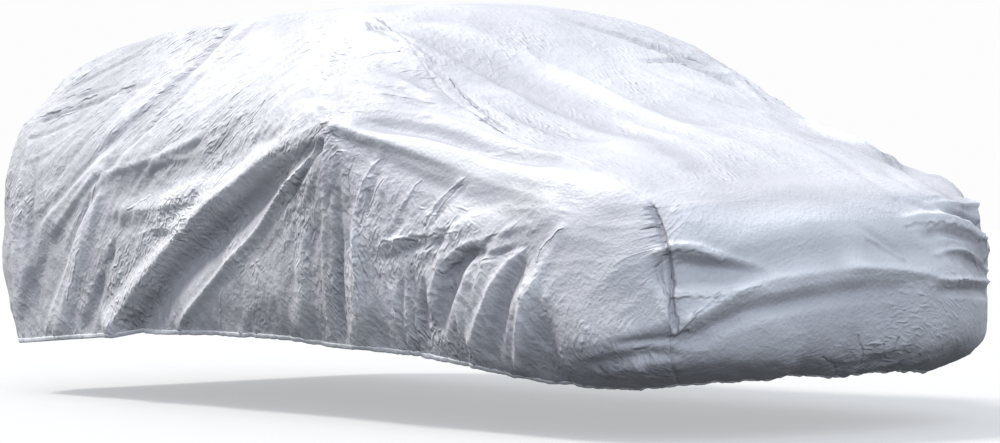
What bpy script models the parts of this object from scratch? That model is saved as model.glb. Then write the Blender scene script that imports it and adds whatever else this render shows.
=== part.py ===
"""Fitted car cover as it hangs in use: one centre panel sewn between two side panels.

Run it with:  blender --background --python part.py

Units are metres.  +X is the front of the cover, +Y its left side and +Z is up.  The tables
below give heights above the ground that the hem hangs over.  An empty carries the three
panels, and lowers them so that the origin of the world lies under the top of the cover.
"""

from collections import namedtuple

import bmesh
import bpy
import numpy as np
from mathutils import Vector, noise
from mathutils.bvhtree import BVHTree

# ---------------------------------------------------------------- driving dimensions

NAME = "car_cover"
CLOTH = 0.0025  # thickness of the cloth
SEAM_GAP = 0.0006  # clearance between two panels along their seam
SIDE_COLUMNS = 62  # faces along a side panel, and along the top of the centre panel
SIDE_ROWS = 17  # faces up a side panel, and up each end of the centre panel
CENTRE_COLUMNS = 16  # faces across the centre panel
MOUNT_X = -0.40  # where the top of the cover is carried, on the centre line
SWELL = 0.010  # how far loose cloth swells in and out
SWELL_SIZE = 0.45  # how wide each swell is
SMALL_SWELL = 0.45  # size of the swells inside those, as a share of theirs
SMALL_SWELL_PLACE = Vector((7.0, 3.0, 5.0))  # where in the noise the small swells start
WELD = 0.0001  # points of two panels that are closer than this are one
PANELS = ("centre_panel", "right_side_panel", "left_side_panel")

# One row for each section of a side panel, from the rear corner seam to the front one.
# Each point is (x forward, y outward, z above the ground), from the hem up to the seam.
# The last column is the centre line (x, z) that the centre panel reaches from that seam.
Section = namedtuple("Section", "name hem skirt waist belt seam centre")
SECTIONS = (
    Section("rear corner", (-1.99, 0.64, 0.204), (-2.06, 0.68, 0.36), (-2.09, 0.69, 0.60),
            (-2.03, 0.68, 0.98), (-1.84, 0.60, 1.220), (-1.91, 1.275)),
    Section("rear quarter", (-1.88, 0.785, 0.198), (-1.93, 0.805, 0.36), (-1.95, 0.815, 0.60),
            (-1.90, 0.775, 0.98), (-1.68, 0.59, 1.275), (-1.73, 1.345)),
    Section("rear arch", (-1.35, 0.81, 0.229), (-1.35, 0.84, 0.38), (-1.35, 0.865, 0.62),
            (-1.35, 0.835, 0.93), (-1.25, 0.58, 1.350), (-1.28, 1.405)),
    Section("rear flank", (-0.80, 0.81, 0.260), (-0.80, 0.845, 0.38), (-0.78, 0.875, 0.62),
            (-0.75, 0.86, 0.92), (-0.70, 0.575, 1.375), (-0.70, 1.425)),
    Section("middle flank", (-0.15, 0.805, 0.270), (-0.15, 0.85, 0.38), (-0.12, 0.885, 0.64),
            (-0.10, 0.875, 0.95), (-0.15, 0.575, 1.390), (-0.15, 1.428)),
    Section("front flank", (0.30, 0.81, 0.255), (0.30, 0.86, 0.38), (0.30, 0.90, 0.66),
            (0.30, 0.895, 0.98), (0.24, 0.58, 1.365), (0.26, 1.408)),
    Section("bulge", (0.62, 0.815, 0.250), (0.62, 0.86, 0.38), (0.62, 0.90, 0.66),
            (0.62, 0.885, 0.97), (0.54, 0.60, 1.265), (0.58, 1.318)),
    Section("slope foot", (0.95, 0.82, 0.231), (0.95, 0.86, 0.36), (0.97, 0.88, 0.62),
            (1.00, 0.84, 0.86), (0.88, 0.635, 1.075), (0.97, 1.115)),
    Section("front arch", (1.28, 0.82, 0.196), (1.28, 0.86, 0.33), (1.29, 0.875, 0.58),
            (1.28, 0.82, 0.79), (1.22, 0.665, 0.925), (1.33, 0.980)),
    Section("shoulder", (1.58, 0.76, 0.165), (1.60, 0.82, 0.27), (1.60, 0.845, 0.52),
            (1.60, 0.80, 0.74), (1.56, 0.69, 0.855), (1.64, 0.893)),
    Section("front quarter", (1.76, 0.65, 0.160), (1.82, 0.745, 0.25), (1.82, 0.755, 0.48),
            (1.79, 0.74, 0.68), (1.76, 0.69, 0.785), (1.86, 0.805)),
    Section("front corner", (1.86, 0.55, 0.165), (1.93, 0.645, 0.26), (1.945, 0.655, 0.44),
            (1.935, 0.66, 0.60), (1.885, 0.665, 0.710), (2.03, 0.735)),
)
# The centre line (x, z) of the two ends, from the hem up, level with the corner sections.
END_LINES = {
    "rear": ((-2.01, 0.250), (-2.07, 0.37), (-2.15, 0.60), (-2.11, 0.98)),
    "front": ((2.02, 0.185), (2.10, 0.28), (2.13, 0.45), (2.11, 0.60)),
}
CROWN = 2.4  # power of the curve across the centre panel: 2 is an arc, more is flatter

# The cloth is held out from each side at one point, and falls away from it like a tent.
Tent = namedtuple("Tent", "x z push ahead behind above below sharpness")
TENT = Tent(
    x=0.60, z=1.00, push=0.105, ahead=0.80, behind=0.65, above=0.42, below=0.80, sharpness=1.35
)

# The main folds.  Each runs from start by way of middle to end, as (x, y, z) near the cloth.
# widths are half widths at the start and end, heights are at the start, middle and end
# (a trough is below zero), and edge runs from 0, a soft roll, to 1, a sharp ridge.
Fold = namedtuple("Fold", "name start middle end widths heights edge")
SIDE_FOLDS = (
    Fold("ridge from tent to rear hem", (0.59, -0.97, 0.98), (0.07, -0.90, 0.71),
         (-0.69, -0.81, 0.28), (0.05, 0.10), (0.015, 0.030, 0.022), 0.6),
    Fold("trough behind that ridge", (0.50, -0.97, 0.95), (-0.17, -0.89, 0.74),
         (-0.99, -0.82, 0.29), (0.05, 0.17), (-0.024, -0.058, -0.032), 0.0),
    Fold("soft ridge behind the trough", (0.30, -0.94, 0.95), (-0.32, -0.88, 0.69),
         (-1.14, -0.82, 0.28), (0.06, 0.12), (0.000, 0.030, 0.024), 0.1),
    Fold("rear shoulder ridge", (-0.48, -0.87, 0.93), (-1.10, -0.86, 0.86),
         (-1.64, -0.86, 0.48), (0.08, 0.10), (0.004, 0.020, 0.008), 0.1),
    Fold("hollow under the rear shoulder", (-0.09, -0.84, 1.04), (-0.43, -0.88, 0.88),
         (-0.98, -0.87, 0.79), (0.08, 0.09), (-0.004, -0.024, -0.010), 0.0),
    Fold("crumpled roll below the hollow", (0.13, -0.91, 0.92), (-0.36, -0.88, 0.77),
         (-0.94, -0.87, 0.69), (0.06, 0.08), (0.010, 0.024, 0.010), 0.2),
    Fold("ridge over the rear arch", (-1.06, -0.87, 0.80), (-1.21, -0.87, 0.60),
         (-1.49, -0.83, 0.27), (0.07, 0.08), (0.004, 0.020, 0.016), 0.3),
    Fold("trough at the rear corner", (-1.16, -0.87, 0.80), (-1.46, -0.86, 0.60),
         (-1.72, -0.84, 0.30), (0.07, 0.10), (-0.004, -0.022, -0.014), 0.0),
    Fold("trough down the upper rear side", (-0.62, -0.58, 1.37), (-0.84, -0.80, 1.06),
         (-1.14, -0.85, 0.89), (0.06, 0.09), (-0.010, -0.016, -0.004), 0.0),
    Fold("shoulder ridge to the front corner", (0.63, -0.97, 0.97), (1.19, -0.80, 0.86),
         (1.84, -0.68, 0.73), (0.05, 0.10), (0.012, 0.030, 0.012), 0.3),
    Fold("trough over the shoulder ridge", (0.73, -0.92, 0.98), (1.10, -0.74, 0.93),
         (1.57, -0.70, 0.84), (0.05, 0.07), (-0.006, -0.016, -0.004), 0.0),
    Fold("hollow under the shoulder ridge", (0.75, -0.93, 0.88), (1.30, -0.85, 0.73),
         (1.75, -0.78, 0.62), (0.08, 0.10), (-0.006, -0.022, -0.006), 0.0),
    Fold("dome over the front arch", (1.10, -0.88, 0.58), (1.36, -0.86, 0.67),
         (1.62, -0.82, 0.66), (0.07, 0.07), (0.006, 0.024, 0.008), 0.2),
    Fold("pocket in the front arch", (1.10, -0.88, 0.34), (1.22, -0.88, 0.53),
         (1.46, -0.86, 0.58), (0.09, 0.07), (-0.022, -0.032, -0.008), 0.0),
    Fold("ridge beside the front arch", (1.62, -0.83, 0.63), (1.49, -0.87, 0.47),
         (1.35, -0.82, 0.21), (0.06, 0.06), (0.004, 0.022, 0.018), 0.5),
    Fold("dent ahead of the front arch", (1.62, -0.84, 0.42), (1.56, -0.84, 0.30),
         (1.54, -0.78, 0.20), (0.07, 0.08), (0.000, -0.020, -0.010), 0.0),
    Fold("hanging ridge under the tent", (0.40, -0.93, 0.70), (0.32, -0.89, 0.49),
         (0.21, -0.83, 0.32), (0.06, 0.08), (0.006, 0.014, 0.012), 0.2),
    Fold("hanging ridge ahead of it", (0.74, -0.95, 0.80), (0.67, -0.91, 0.51),
         (0.56, -0.83, 0.29), (0.06, 0.08), (0.006, 0.016, 0.012), 0.2),
)
# The folds of the centre panel, and those that cross its seams.
CENTRE_FOLDS = (
    Fold("long valley down the front slope", (0.34, -0.61, 1.32), (1.00, -0.42, 1.07),
         (1.74, -0.37, 0.85), (0.07, 0.10), (-0.010, -0.020, -0.006), 0.0),
    Fold("roll beside the valley", (0.48, -0.45, 1.32), (1.06, -0.22, 1.07),
         (1.80, -0.12, 0.85), (0.08, 0.10), (0.004, 0.014, 0.004), 0.0),
    Fold("fold under the far top corner", (0.46, 0.10, 1.36), (0.70, 0.30, 1.25),
         (0.86, 0.52, 1.13), (0.07, 0.08), (-0.004, -0.016, -0.012), 0.0),
    Fold("hump at the foot of the far slope", (1.16, 0.64, 0.96), (1.32, 0.58, 0.94),
         (1.44, 0.58, 0.91), (0.09, 0.09), (0.016, 0.034, 0.026), 0.1),
    Fold("dip along the far front edge", (1.58, 0.67, 0.86), (1.72, 0.60, 0.82),
         (1.88, 0.58, 0.74), (0.11, 0.20), (-0.050, -0.056, -0.026), 0.0),
    Fold("pocket at the right front corner", (1.94, -0.64, 0.57), (1.99, -0.56, 0.54),
         (2.06, -0.44, 0.50), (0.07, 0.06), (-0.026, -0.030, -0.004), 0.0),
    Fold("ridge from the corner over the nose", (1.95, -0.64, 0.35), (2.05, -0.45, 0.46),
         (2.12, -0.10, 0.52), (0.05, 0.07), (0.014, 0.022, 0.012), 0.4),
    Fold("nose roll", (2.12, -0.10, 0.52), (2.11, 0.18, 0.51),
         (2.04, 0.46, 0.46), (0.07, 0.06), (0.012, 0.014, 0.006), 0.2),
    Fold("tuck under the right corner", (1.74, -0.78, 0.24), (1.88, -0.71, 0.29),
         (1.98, -0.60, 0.33), (0.06, 0.06), (-0.010, -0.022, -0.010), 0.0),
    Fold("flap at the left corner", (2.03, 0.34, 0.69), (2.00, 0.50, 0.64),
         (1.94, 0.64, 0.55), (0.06, 0.07), (0.004, 0.016, 0.012), 0.3),
    Fold("pocket at the left front corner", (2.08, 0.36, 0.56), (2.03, 0.50, 0.53),
         (1.96, 0.63, 0.50), (0.05, 0.06), (-0.004, -0.020, -0.020), 0.0),
    Fold("left corner point", (1.90, 0.64, 0.715), (1.90, 0.66, 0.70),
         (1.93, 0.66, 0.64), (0.06, 0.06), (0.024, 0.030, 0.004), 0.3),
    Fold("drape down the rear end, right", (-1.86, -0.50, 1.26), (-2.09, -0.30, 0.80),
         (-2.09, -0.05, 0.30), (0.08, 0.12), (0.008, 0.020, 0.012), 0.1),
    Fold("drape down the rear end, left", (-1.88, 0.42, 1.26), (-2.11, 0.26, 0.75),
         (-2.09, 0.20, 0.30), (0.08, 0.12), (0.006, 0.018, 0.012), 0.2),
    Fold("slack across the rear end", (-2.06, -0.52, 0.86), (-2.12, 0.05, 0.80),
         (-2.06, 0.55, 0.88), (0.09, 0.09), (-0.006, -0.022, -0.006), 0.0),
)
PATH_STEPS = 8  # straight steps that each fold's curve is followed in
DEPTH_SHARE = 0.3  # how much of a point's depth under the curve counts as distance from it
LEFT_SHIFT = 0.06  # the left side hangs in the same folds, a little further back
LEFT_EASE = 0.85  # and a little shallower


# ---------------------------------------------------------------- the draped surface


def through(knots, rows, places):
    """Points at places on the smooth curve that passes through rows at their knots."""
    slopes = np.gradient(rows, knots, axis=0)
    left = np.clip(np.searchsorted(knots, places) - 1, 0, len(knots) - 2)
    span = (knots[left + 1] - knots[left])[:, None]
    t = ((places - knots[left]) / span[:, 0])[:, None]
    return (
        rows[left] * (1 + 2 * t) * (1 - t) ** 2
        + slopes[left] * span * t * (1 - t) ** 2
        + rows[left + 1] * t**2 * (3 - 2 * t)
        + slopes[left + 1] * span * t**2 * (t - 1)
    )


def lengths_along(points):
    """The running length of the straight lines through points, which starts at 0."""
    steps = np.linalg.norm(np.diff(points, axis=0), axis=1)
    return np.concatenate([[0.0], np.cumsum(steps)])


def side_surface(columns, rows):
    """The right side panel as a (columns + 1, rows + 1) grid of points, hem at row 0."""
    points = np.array([[s.hem, s.skirt, s.waist, s.belt, s.seam] for s in SECTIONS])
    knots = lengths_along(points[:, -1])
    places = np.linspace(0, knots[-1], columns + 1)
    ribs = np.stack([through(knots, points[:, i], places) for i in range(5)], axis=1)
    grid = []
    for rib in ribs:
        heights = lengths_along(rib)
        grid.append(through(heights, rib, np.linspace(0, heights[-1], rows + 1)))
    grid = np.array(grid)
    grid[..., 1] *= -1
    return grid


def centre_surface(side, across):
    """The centre panel as a grid: from the rear hem over the top to the front hem."""
    edge = np.concatenate([side[0, :-1], side[:, -1], side[-1, -2::-1]])
    rear = SECTIONS[0]
    front = SECTIONS[-1]
    corners = (
        [rear.hem, rear.skirt, rear.waist, rear.belt]
        + [s.seam for s in SECTIONS]
        + [front.belt, front.waist, front.skirt, front.hem]
    )
    middles = np.array(
        list(END_LINES["rear"]) + [s.centre for s in SECTIONS] + list(END_LINES["front"])[::-1]
    )
    knots = lengths_along(np.array(corners))
    rows = side.shape[1] - 1
    columns = side.shape[0] - 1
    rear_end = knots[4]
    front_end = knots[-5]
    places = np.concatenate(
        [
            np.linspace(0, rear_end, rows + 1)[:-1],
            np.linspace(rear_end, front_end, columns + 1),
            np.linspace(front_end, knots[-1], rows + 1)[1:],
        ]
    )
    line = through(knots, middles, places)
    middle = np.stack([line[:, 0], np.zeros(len(line)), line[:, 1]], axis=1)
    share = np.linspace(-1, 1, across + 1)
    fall = np.abs(share) ** CROWN
    grid = middle[:, None] + (edge - middle)[:, None] * fall[None, :, None]
    grid[..., 1] = edge[:, None, 1] * -share[None, :]
    return grid


def tent_push(x, z):
    """How far the cloth is held out at a point of a side panel."""
    ahead = np.where(x > TENT.x, TENT.ahead, TENT.behind)
    above = np.where(z > TENT.z, TENT.above, TENT.below)
    apart = np.hypot((x - TENT.x) / ahead, (z - TENT.z) / above)
    return TENT.push * np.clip(1 - apart, 0, 1) ** TENT.sharpness


def all_folds():
    """The table's folds, with those of the right side repeated on the left."""
    folds = list(SIDE_FOLDS + CENTRE_FOLDS)
    for fold in SIDE_FOLDS:
        start, middle, end = (
            (x - LEFT_SHIFT, -y, z) for x, y, z in (fold.start, fold.middle, fold.end)
        )
        heights = [height * LEFT_EASE for height in fold.heights]
        folds.append(Fold("left " + fold.name, start, middle, end, fold.widths, heights, fold.edge))
    return folds


def fold_relief(points, normals):
    """How far the folds lift each point along its normal."""
    relief = np.zeros(len(points))
    for fold in all_folds():
        start, middle, end = (np.array(p) for p in (fold.start, fold.middle, fold.end))
        t = np.linspace(0, 1, PATH_STEPS + 1)[:, None]
        path = start * (1 - t) * (1 - 2 * t) + middle * 4 * t * (1 - t) + end * t * (2 * t - 1)
        nearest = np.full(len(points), np.inf)
        along = np.zeros(len(points))
        for i, (a, b) in enumerate(zip(path, path[1:])):
            step = b - a
            share = np.clip((points - a) @ step / (step @ step), 0, 1)
            offset = points - a - share[:, None] * step
            depth = np.sum(offset * normals, axis=1)
            beside = np.maximum(np.sum(offset**2, axis=1) - depth**2, 0)
            apart = np.sqrt(beside + (DEPTH_SHARE * depth) ** 2)
            closer = apart < nearest
            nearest = np.where(closer, apart, nearest)
            along = np.where(closer, (i + share) / PATH_STEPS, along)
        width = fold.widths[0] + (fold.widths[1] - fold.widths[0]) * along
        d = np.clip(nearest / width, 0, 1)
        profile = (1 - fold.edge) * (1 - d * d) ** 2 + fold.edge * (1 - d) ** 2
        height = np.interp(along, (0, 0.5, 1), fold.heights)
        relief += height * profile
    return relief


def unevenness(point):
    """The gentle swell of cloth that hangs a little loose."""
    wide = noise.noise(point / SWELL_SIZE)
    small = noise.noise(point / (SWELL_SIZE * SMALL_SWELL) + SMALL_SWELL_PLACE)
    return SWELL * (wide + small / 2)


# ---------------------------------------------------------------- the cloth as one mesh


def lay_grid(cloth, surface, panel):
    """Adds a grid with a vertex at each point of the surface, as the faces of one panel."""
    columns = surface.shape[0] - 1
    rows = surface.shape[1] - 1
    grid = bmesh.ops.create_grid(cloth, x_segments=columns, y_segments=rows, size=1)
    for vert in grid["verts"]:
        column = round((vert.co.x + 1) / 2 * columns)
        row = round((vert.co.y + 1) / 2 * rows)
        vert.co = surface[column, row]
    for face in {face for vert in grid["verts"] for face in vert.link_faces}:
        face.material_index = panel


def halve_faces(faces, relief, centre_relief):
    """Halves each face along the diagonal that keeps closest to the folds across it."""
    for face, middle in zip(faces, centre_relief):
        a, b, c, d = face.verts
        miss_ac = abs(relief[a.index] + relief[c.index] - 2 * middle)
        miss_bd = abs(relief[b.index] + relief[d.index] - 2 * middle)
        ends = (a, c) if miss_ac <= miss_bd else (b, d)
        bmesh.utils.face_split(face, *ends)


def draped_cloth():
    """The whole cover as one sheet with no thickness, its folds in it, facing outwards."""
    right = side_surface(SIDE_COLUMNS, SIDE_ROWS)
    right[..., 1] -= tent_push(right[..., 0], right[..., 2])
    left = right * (1, -1, 1)
    centre = centre_surface(right, CENTRE_COLUMNS)
    cloth = bmesh.new()
    for panel, surface in enumerate((centre, right, left)):
        lay_grid(cloth, surface, panel)
    bmesh.ops.remove_doubles(cloth, verts=cloth.verts, dist=WELD)
    bmesh.ops.recalc_face_normals(cloth, faces=cloth.faces)
    if max(cloth.faces, key=lambda face: face.calc_center_median().z).normal.z < 0:
        bmesh.ops.reverse_faces(cloth, faces=cloth.faces)
    cloth.normal_update()
    faces = cloth.faces[:]
    centres = np.array([face.calc_center_median() for face in faces])
    centre_relief = fold_relief(centres, np.array([face.normal for face in faces]))
    points = np.array([vert.co for vert in cloth.verts])
    relief = fold_relief(points, np.array([vert.normal for vert in cloth.verts]))
    for vert, lift in zip(cloth.verts, relief):
        vert.co += vert.normal * (lift + unevenness(vert.co))
    halve_faces(faces, relief, centre_relief)
    cloth.normal_update()
    return cloth


# ---------------------------------------------------------------- the three panels


def open_seams(panel):
    """Draws the panel's rim in by half the clearance that a seam keeps."""
    inward = {}
    for vert in panel.verts:
        if not vert.is_boundary:
            continue
        ends = [edge.other_vert(vert).co for edge in vert.link_edges if edge.is_boundary]
        rim = (ends[0] - ends[1]).normalized()
        centres = [face.calc_center_median() for face in vert.link_faces]
        pull = sum(centres, Vector()) / len(centres) - vert.co
        inward[vert] = (pull - rim * pull.dot(rim)).normalized()
    for vert, pull in inward.items():
        vert.co += pull * SEAM_GAP / 2


def thicken(panel, depth):
    """Gives the sheet its thickness, inwards, mitred where two panels meet."""
    made = bmesh.ops.extrude_face_region(panel, geom=panel.faces[:], use_keep_orig=True)
    for item in made["geom"]:
        if isinstance(item, bmesh.types.BMVert):
            item.co -= item[depth] * CLOTH
    bmesh.ops.recalc_face_normals(panel, faces=panel.faces)


def panel_object(name, cloth, index, material, collection):
    """One sewn panel, cut from the draped cloth and made solid."""
    panel = cloth.copy()
    depth = panel.verts.layers.float_vector["outward"]
    others = [face for face in panel.faces if face.material_index != index]
    bmesh.ops.delete(panel, geom=others, context="FACES")
    open_seams(panel)
    thicken(panel, depth)
    for face in panel.faces:
        face.material_index = 0
    mesh = bpy.data.meshes.new(name)
    panel.to_mesh(mesh)
    panel.free()
    mesh.attributes.remove(mesh.attributes["outward"])
    mesh.shade_smooth()
    mesh.materials.append(material)
    piece = bpy.data.objects.new(name, mesh)
    collection.objects.link(piece)
    return piece


def coated_cloth():
    """Silver-grey coated cloth."""
    material = bpy.data.materials.new("silver_grey_cloth")
    material.use_nodes = True
    shader = material.node_tree.nodes["Principled BSDF"]
    shader.inputs["Base Color"].default_value = (0.62, 0.63, 0.67, 1.0)
    shader.inputs["Roughness"].default_value = 0.55
    shader.inputs["Metallic"].default_value = 0.0
    return material


def top_underside(cloth):
    """Where the line up through the mount meets the underside of the cover's top."""
    hit = BVHTree.FromBMesh(cloth).ray_cast(Vector((MOUNT_X, 0.0, 0.0)), Vector((0, 0, 1)))
    return hit[0] - Vector((0, 0, CLOTH))


def build():
    for old in list(bpy.data.objects):
        bpy.data.objects.remove(old)
    collection = bpy.data.collections.new(NAME)
    bpy.context.scene.collection.children.link(collection)

    cloth = draped_cloth()
    outward = cloth.verts.layers.float_vector.new("outward")
    for vert in cloth.verts:
        vert[outward] = vert.normal
    mount = top_underside(cloth)

    frame = bpy.data.objects.new(NAME + "_frame", None)
    frame.location = -mount
    collection.objects.link(frame)
    material = coated_cloth()
    for index, name in enumerate(PANELS):
        panel_object(name, cloth, index, material, collection).parent = frame
    cloth.free()


build()
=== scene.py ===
# %% [markdown]
# A fitted cover of silver-grey coated cloth, as it hangs in use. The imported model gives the
# exact size and place of its three sewn panels, and this lesson turns each panel into a
# thin sheet of cloth with its creases, gathers and crinkles. Everything is in metres, but
# the tables of folds are in centimetres and millimetres, which keeps their rows short.

# %% Load the frame
import math
import random
from collections import namedtuple

import bmesh
import bpy
import numpy as np
from mathutils import Matrix, Vector, noise


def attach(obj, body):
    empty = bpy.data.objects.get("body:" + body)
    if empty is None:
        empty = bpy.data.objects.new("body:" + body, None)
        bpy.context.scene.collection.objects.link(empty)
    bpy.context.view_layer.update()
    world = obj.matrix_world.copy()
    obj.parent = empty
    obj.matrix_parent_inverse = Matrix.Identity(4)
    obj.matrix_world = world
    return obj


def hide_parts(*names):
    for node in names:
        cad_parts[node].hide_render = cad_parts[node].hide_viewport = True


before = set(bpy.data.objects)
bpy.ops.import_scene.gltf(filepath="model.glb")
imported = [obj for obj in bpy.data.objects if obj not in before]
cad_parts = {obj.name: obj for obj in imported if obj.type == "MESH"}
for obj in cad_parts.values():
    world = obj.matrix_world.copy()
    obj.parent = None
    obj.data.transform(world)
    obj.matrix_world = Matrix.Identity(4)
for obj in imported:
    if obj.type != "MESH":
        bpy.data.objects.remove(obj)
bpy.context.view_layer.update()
print("panels in the frame:", sorted(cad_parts))

# %% [markdown]
# The tables below give heights above the ground, because that is how a cover is measured.
# The frame's origin lies under the top of the cover, so one shift takes the tables' numbers
# to the frame. The camera comes first. It stands low, looks level at the front quarter of
# the right side, and uses a long lens, so that the lines of the cover hardly converge.

# %% Place the camera
ORIGIN = np.array((-0.40, 0.0, 1.428))  # the frame's origin, above the ground
CAMERA_PLACE = (9.48, -6.84, 0.78)
CAMERA_TURN = (-53.59, -0.62, -0.68)  # degrees: heading from +Y, tilt and roll
CAMERA_LENS = 118.0
SENSOR = 36.0


def place_camera():
    """A level camera at the front quarter of the right side."""
    heading, tilt, roll = (math.radians(angle) for angle in CAMERA_TURN)
    ahead = Vector((math.cos(tilt) * math.sin(heading), math.cos(tilt) * math.cos(heading),
                    math.sin(tilt)))
    right = Vector((math.cos(heading), -math.sin(heading), 0))
    up = right.cross(ahead)
    right, up = (right * math.cos(roll) + up * math.sin(roll),
                 up * math.cos(roll) - right * math.sin(roll))
    lens = bpy.data.cameras.new("view")
    lens.lens = CAMERA_LENS
    lens.sensor_width = SENSOR
    camera = bpy.data.objects.new("view", lens)
    turn = Matrix((right, up, -ahead)).transposed().to_4x4()
    camera.matrix_world = Matrix.Translation(Vector(CAMERA_PLACE) - Vector(ORIGIN)) @ turn
    bpy.context.scene.collection.objects.link(camera)
    bpy.context.scene.camera = camera
    return camera


camera = place_camera()
print("camera stands at", [round(c, 2) for c in camera.matrix_world.translation])

# %% [markdown]
# A cover like this is cut from flat cloth and sewn along two long seams, then pulled over a
# shape that is wider below than above. The cut shows as smooth ribs from the hem up to the
# seam. One row of the table holds one rib, and a smooth curve is drawn through the rows, so
# a few measured points give the whole drape. That is easier to keep true to size than
# modelling by eye, and a finer grid than the model's can be laid on the same curves.

# %% The ribs of a side panel and the line down the middle
Section = namedtuple("Section", "name hem skirt waist belt seam centre")
SECTIONS = (
    Section("rear corner", (-1.99, 0.64, 0.204), (-2.06, 0.68, 0.36), (-2.09, 0.69, 0.60),
            (-2.03, 0.68, 0.98), (-1.84, 0.60, 1.220), (-1.91, 1.275)),
    Section("rear quarter", (-1.88, 0.785, 0.198), (-1.93, 0.805, 0.36), (-1.95, 0.815, 0.60),
            (-1.90, 0.775, 0.98), (-1.68, 0.59, 1.275), (-1.73, 1.345)),
    Section("rear arch", (-1.35, 0.81, 0.229), (-1.35, 0.84, 0.38), (-1.35, 0.865, 0.62),
            (-1.35, 0.835, 0.93), (-1.25, 0.58, 1.350), (-1.28, 1.405)),
    Section("rear flank", (-0.80, 0.81, 0.260), (-0.80, 0.845, 0.38), (-0.78, 0.875, 0.62),
            (-0.75, 0.86, 0.92), (-0.70, 0.575, 1.375), (-0.70, 1.425)),
    Section("middle flank", (-0.15, 0.805, 0.270), (-0.15, 0.85, 0.38), (-0.12, 0.885, 0.64),
            (-0.10, 0.875, 0.95), (-0.15, 0.575, 1.390), (-0.15, 1.428)),
    Section("front flank", (0.30, 0.81, 0.255), (0.30, 0.86, 0.38), (0.30, 0.90, 0.66),
            (0.30, 0.895, 0.98), (0.24, 0.58, 1.365), (0.26, 1.408)),
    Section("bulge", (0.62, 0.815, 0.250), (0.62, 0.86, 0.38), (0.62, 0.90, 0.66),
            (0.62, 0.885, 0.97), (0.54, 0.60, 1.265), (0.58, 1.318)),
    Section("slope foot", (0.95, 0.82, 0.231), (0.95, 0.86, 0.36), (0.97, 0.88, 0.62),
            (1.00, 0.84, 0.86), (0.88, 0.635, 1.075), (0.97, 1.115)),
    Section("front arch", (1.28, 0.82, 0.196), (1.28, 0.86, 0.33), (1.29, 0.875, 0.58),
            (1.28, 0.82, 0.79), (1.22, 0.665, 0.925), (1.33, 0.980)),
    Section("shoulder", (1.58, 0.76, 0.165), (1.60, 0.82, 0.27), (1.60, 0.845, 0.52),
            (1.60, 0.80, 0.74), (1.56, 0.69, 0.855), (1.64, 0.893)),
    Section("front quarter", (1.76, 0.65, 0.160), (1.82, 0.745, 0.25), (1.82, 0.755, 0.48),
            (1.79, 0.74, 0.68), (1.76, 0.69, 0.785), (1.86, 0.805)),
    Section("front corner", (1.86, 0.55, 0.165), (1.93, 0.645, 0.26), (1.945, 0.655, 0.44),
            (1.935, 0.66, 0.60), (1.885, 0.665, 0.710), (2.03, 0.735)),
)
END_LINES = {
    "rear": ((-2.01, 0.250), (-2.07, 0.37), (-2.15, 0.60), (-2.11, 0.98)),
    "front": ((2.02, 0.185), (2.10, 0.28), (2.13, 0.45), (2.11, 0.60)),
}
CROWN = 2.4  # power of the curve across the centre panel: 2 is an arc, more is flatter
Tent = namedtuple("Tent", "x z push ahead behind above below sharpness")
TENT = Tent(
    x=0.60, z=1.00, push=0.105, ahead=0.80, behind=0.65, above=0.42, below=0.80, sharpness=1.35
)
print(len(SECTIONS), "ribs, from the", SECTIONS[0].name, "to the", SECTIONS[-1].name)

# %% [markdown]
# The thin sheet is laid on a fine grid. Cloth bends most at its edges, so the grid's lines
# lie close together at the seams and at the hem, and further apart between them.

# %% Space the grid lines
SIDE_COLUMNS = 368
SIDE_ROWS = 128
CENTRE_COLUMNS = 78
SEAM_STEPS = np.array((0, 0.002, 0.0045, 0.0075, 0.0115, 0.017, 0.025))  # metres from a seam
HEM_STEPS = np.array((0, 0.004, 0.009, 0.015, 0.022, 0.031))  # metres from the hem
SEAM_LENGTH = 4.3
RIB_LENGTH = 1.3
HALF_TOP = 0.64


def shares(count, length, first, last):
    """count + 1 shares of a length, with close steps at its start and its end."""
    inner = count + 1 - len(first) - len(last)
    middle = np.linspace(first[-1], length - last[-1], inner + 2)[1:-1]
    return np.concatenate([first, middle, length - last[::-1]]) / length


COLUMN_SHARES = shares(SIDE_COLUMNS, SEAM_LENGTH, SEAM_STEPS, SEAM_STEPS)
ROW_SHARES = shares(SIDE_ROWS, RIB_LENGTH, HEM_STEPS, SEAM_STEPS)
ACROSS_SHARES = 2 * shares(CENTRE_COLUMNS, 2 * HALF_TOP, SEAM_STEPS, SEAM_STEPS) - 1
print("a side panel is", len(COLUMN_SHARES), "by", len(ROW_SHARES), "points")

# %% [markdown]
# A side panel is worked out twice over: first smooth lines from rib to rib, then one smooth
# curve up each of the new ribs. Where the side is held out, the cloth rises to a soft point
# like a tent. The left panel is cut alike, so it starts as the right one's mirror image.

# %% Lay the side panels
def lengths_along(points):
    """The running length of the straight lines through points, which starts at 0."""
    steps = np.linalg.norm(np.diff(points, axis=0), axis=1)
    return np.concatenate([[0.0], np.cumsum(steps)])


def through(knots, rows, places):
    """Points at places on the smooth curve that passes through rows at their knots."""
    slopes = np.gradient(rows, knots, axis=0)
    left = np.clip(np.searchsorted(knots, places) - 1, 0, len(knots) - 2)
    span = (knots[left + 1] - knots[left])[:, None]
    t = ((places - knots[left]) / span[:, 0])[:, None]
    return (
        rows[left] * (1 + 2 * t) * (1 - t) ** 2
        + slopes[left] * span * t * (1 - t) ** 2
        + rows[left + 1] * t**2 * (3 - 2 * t)
        + slopes[left + 1] * span * t**2 * (t - 1)
    )


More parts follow.
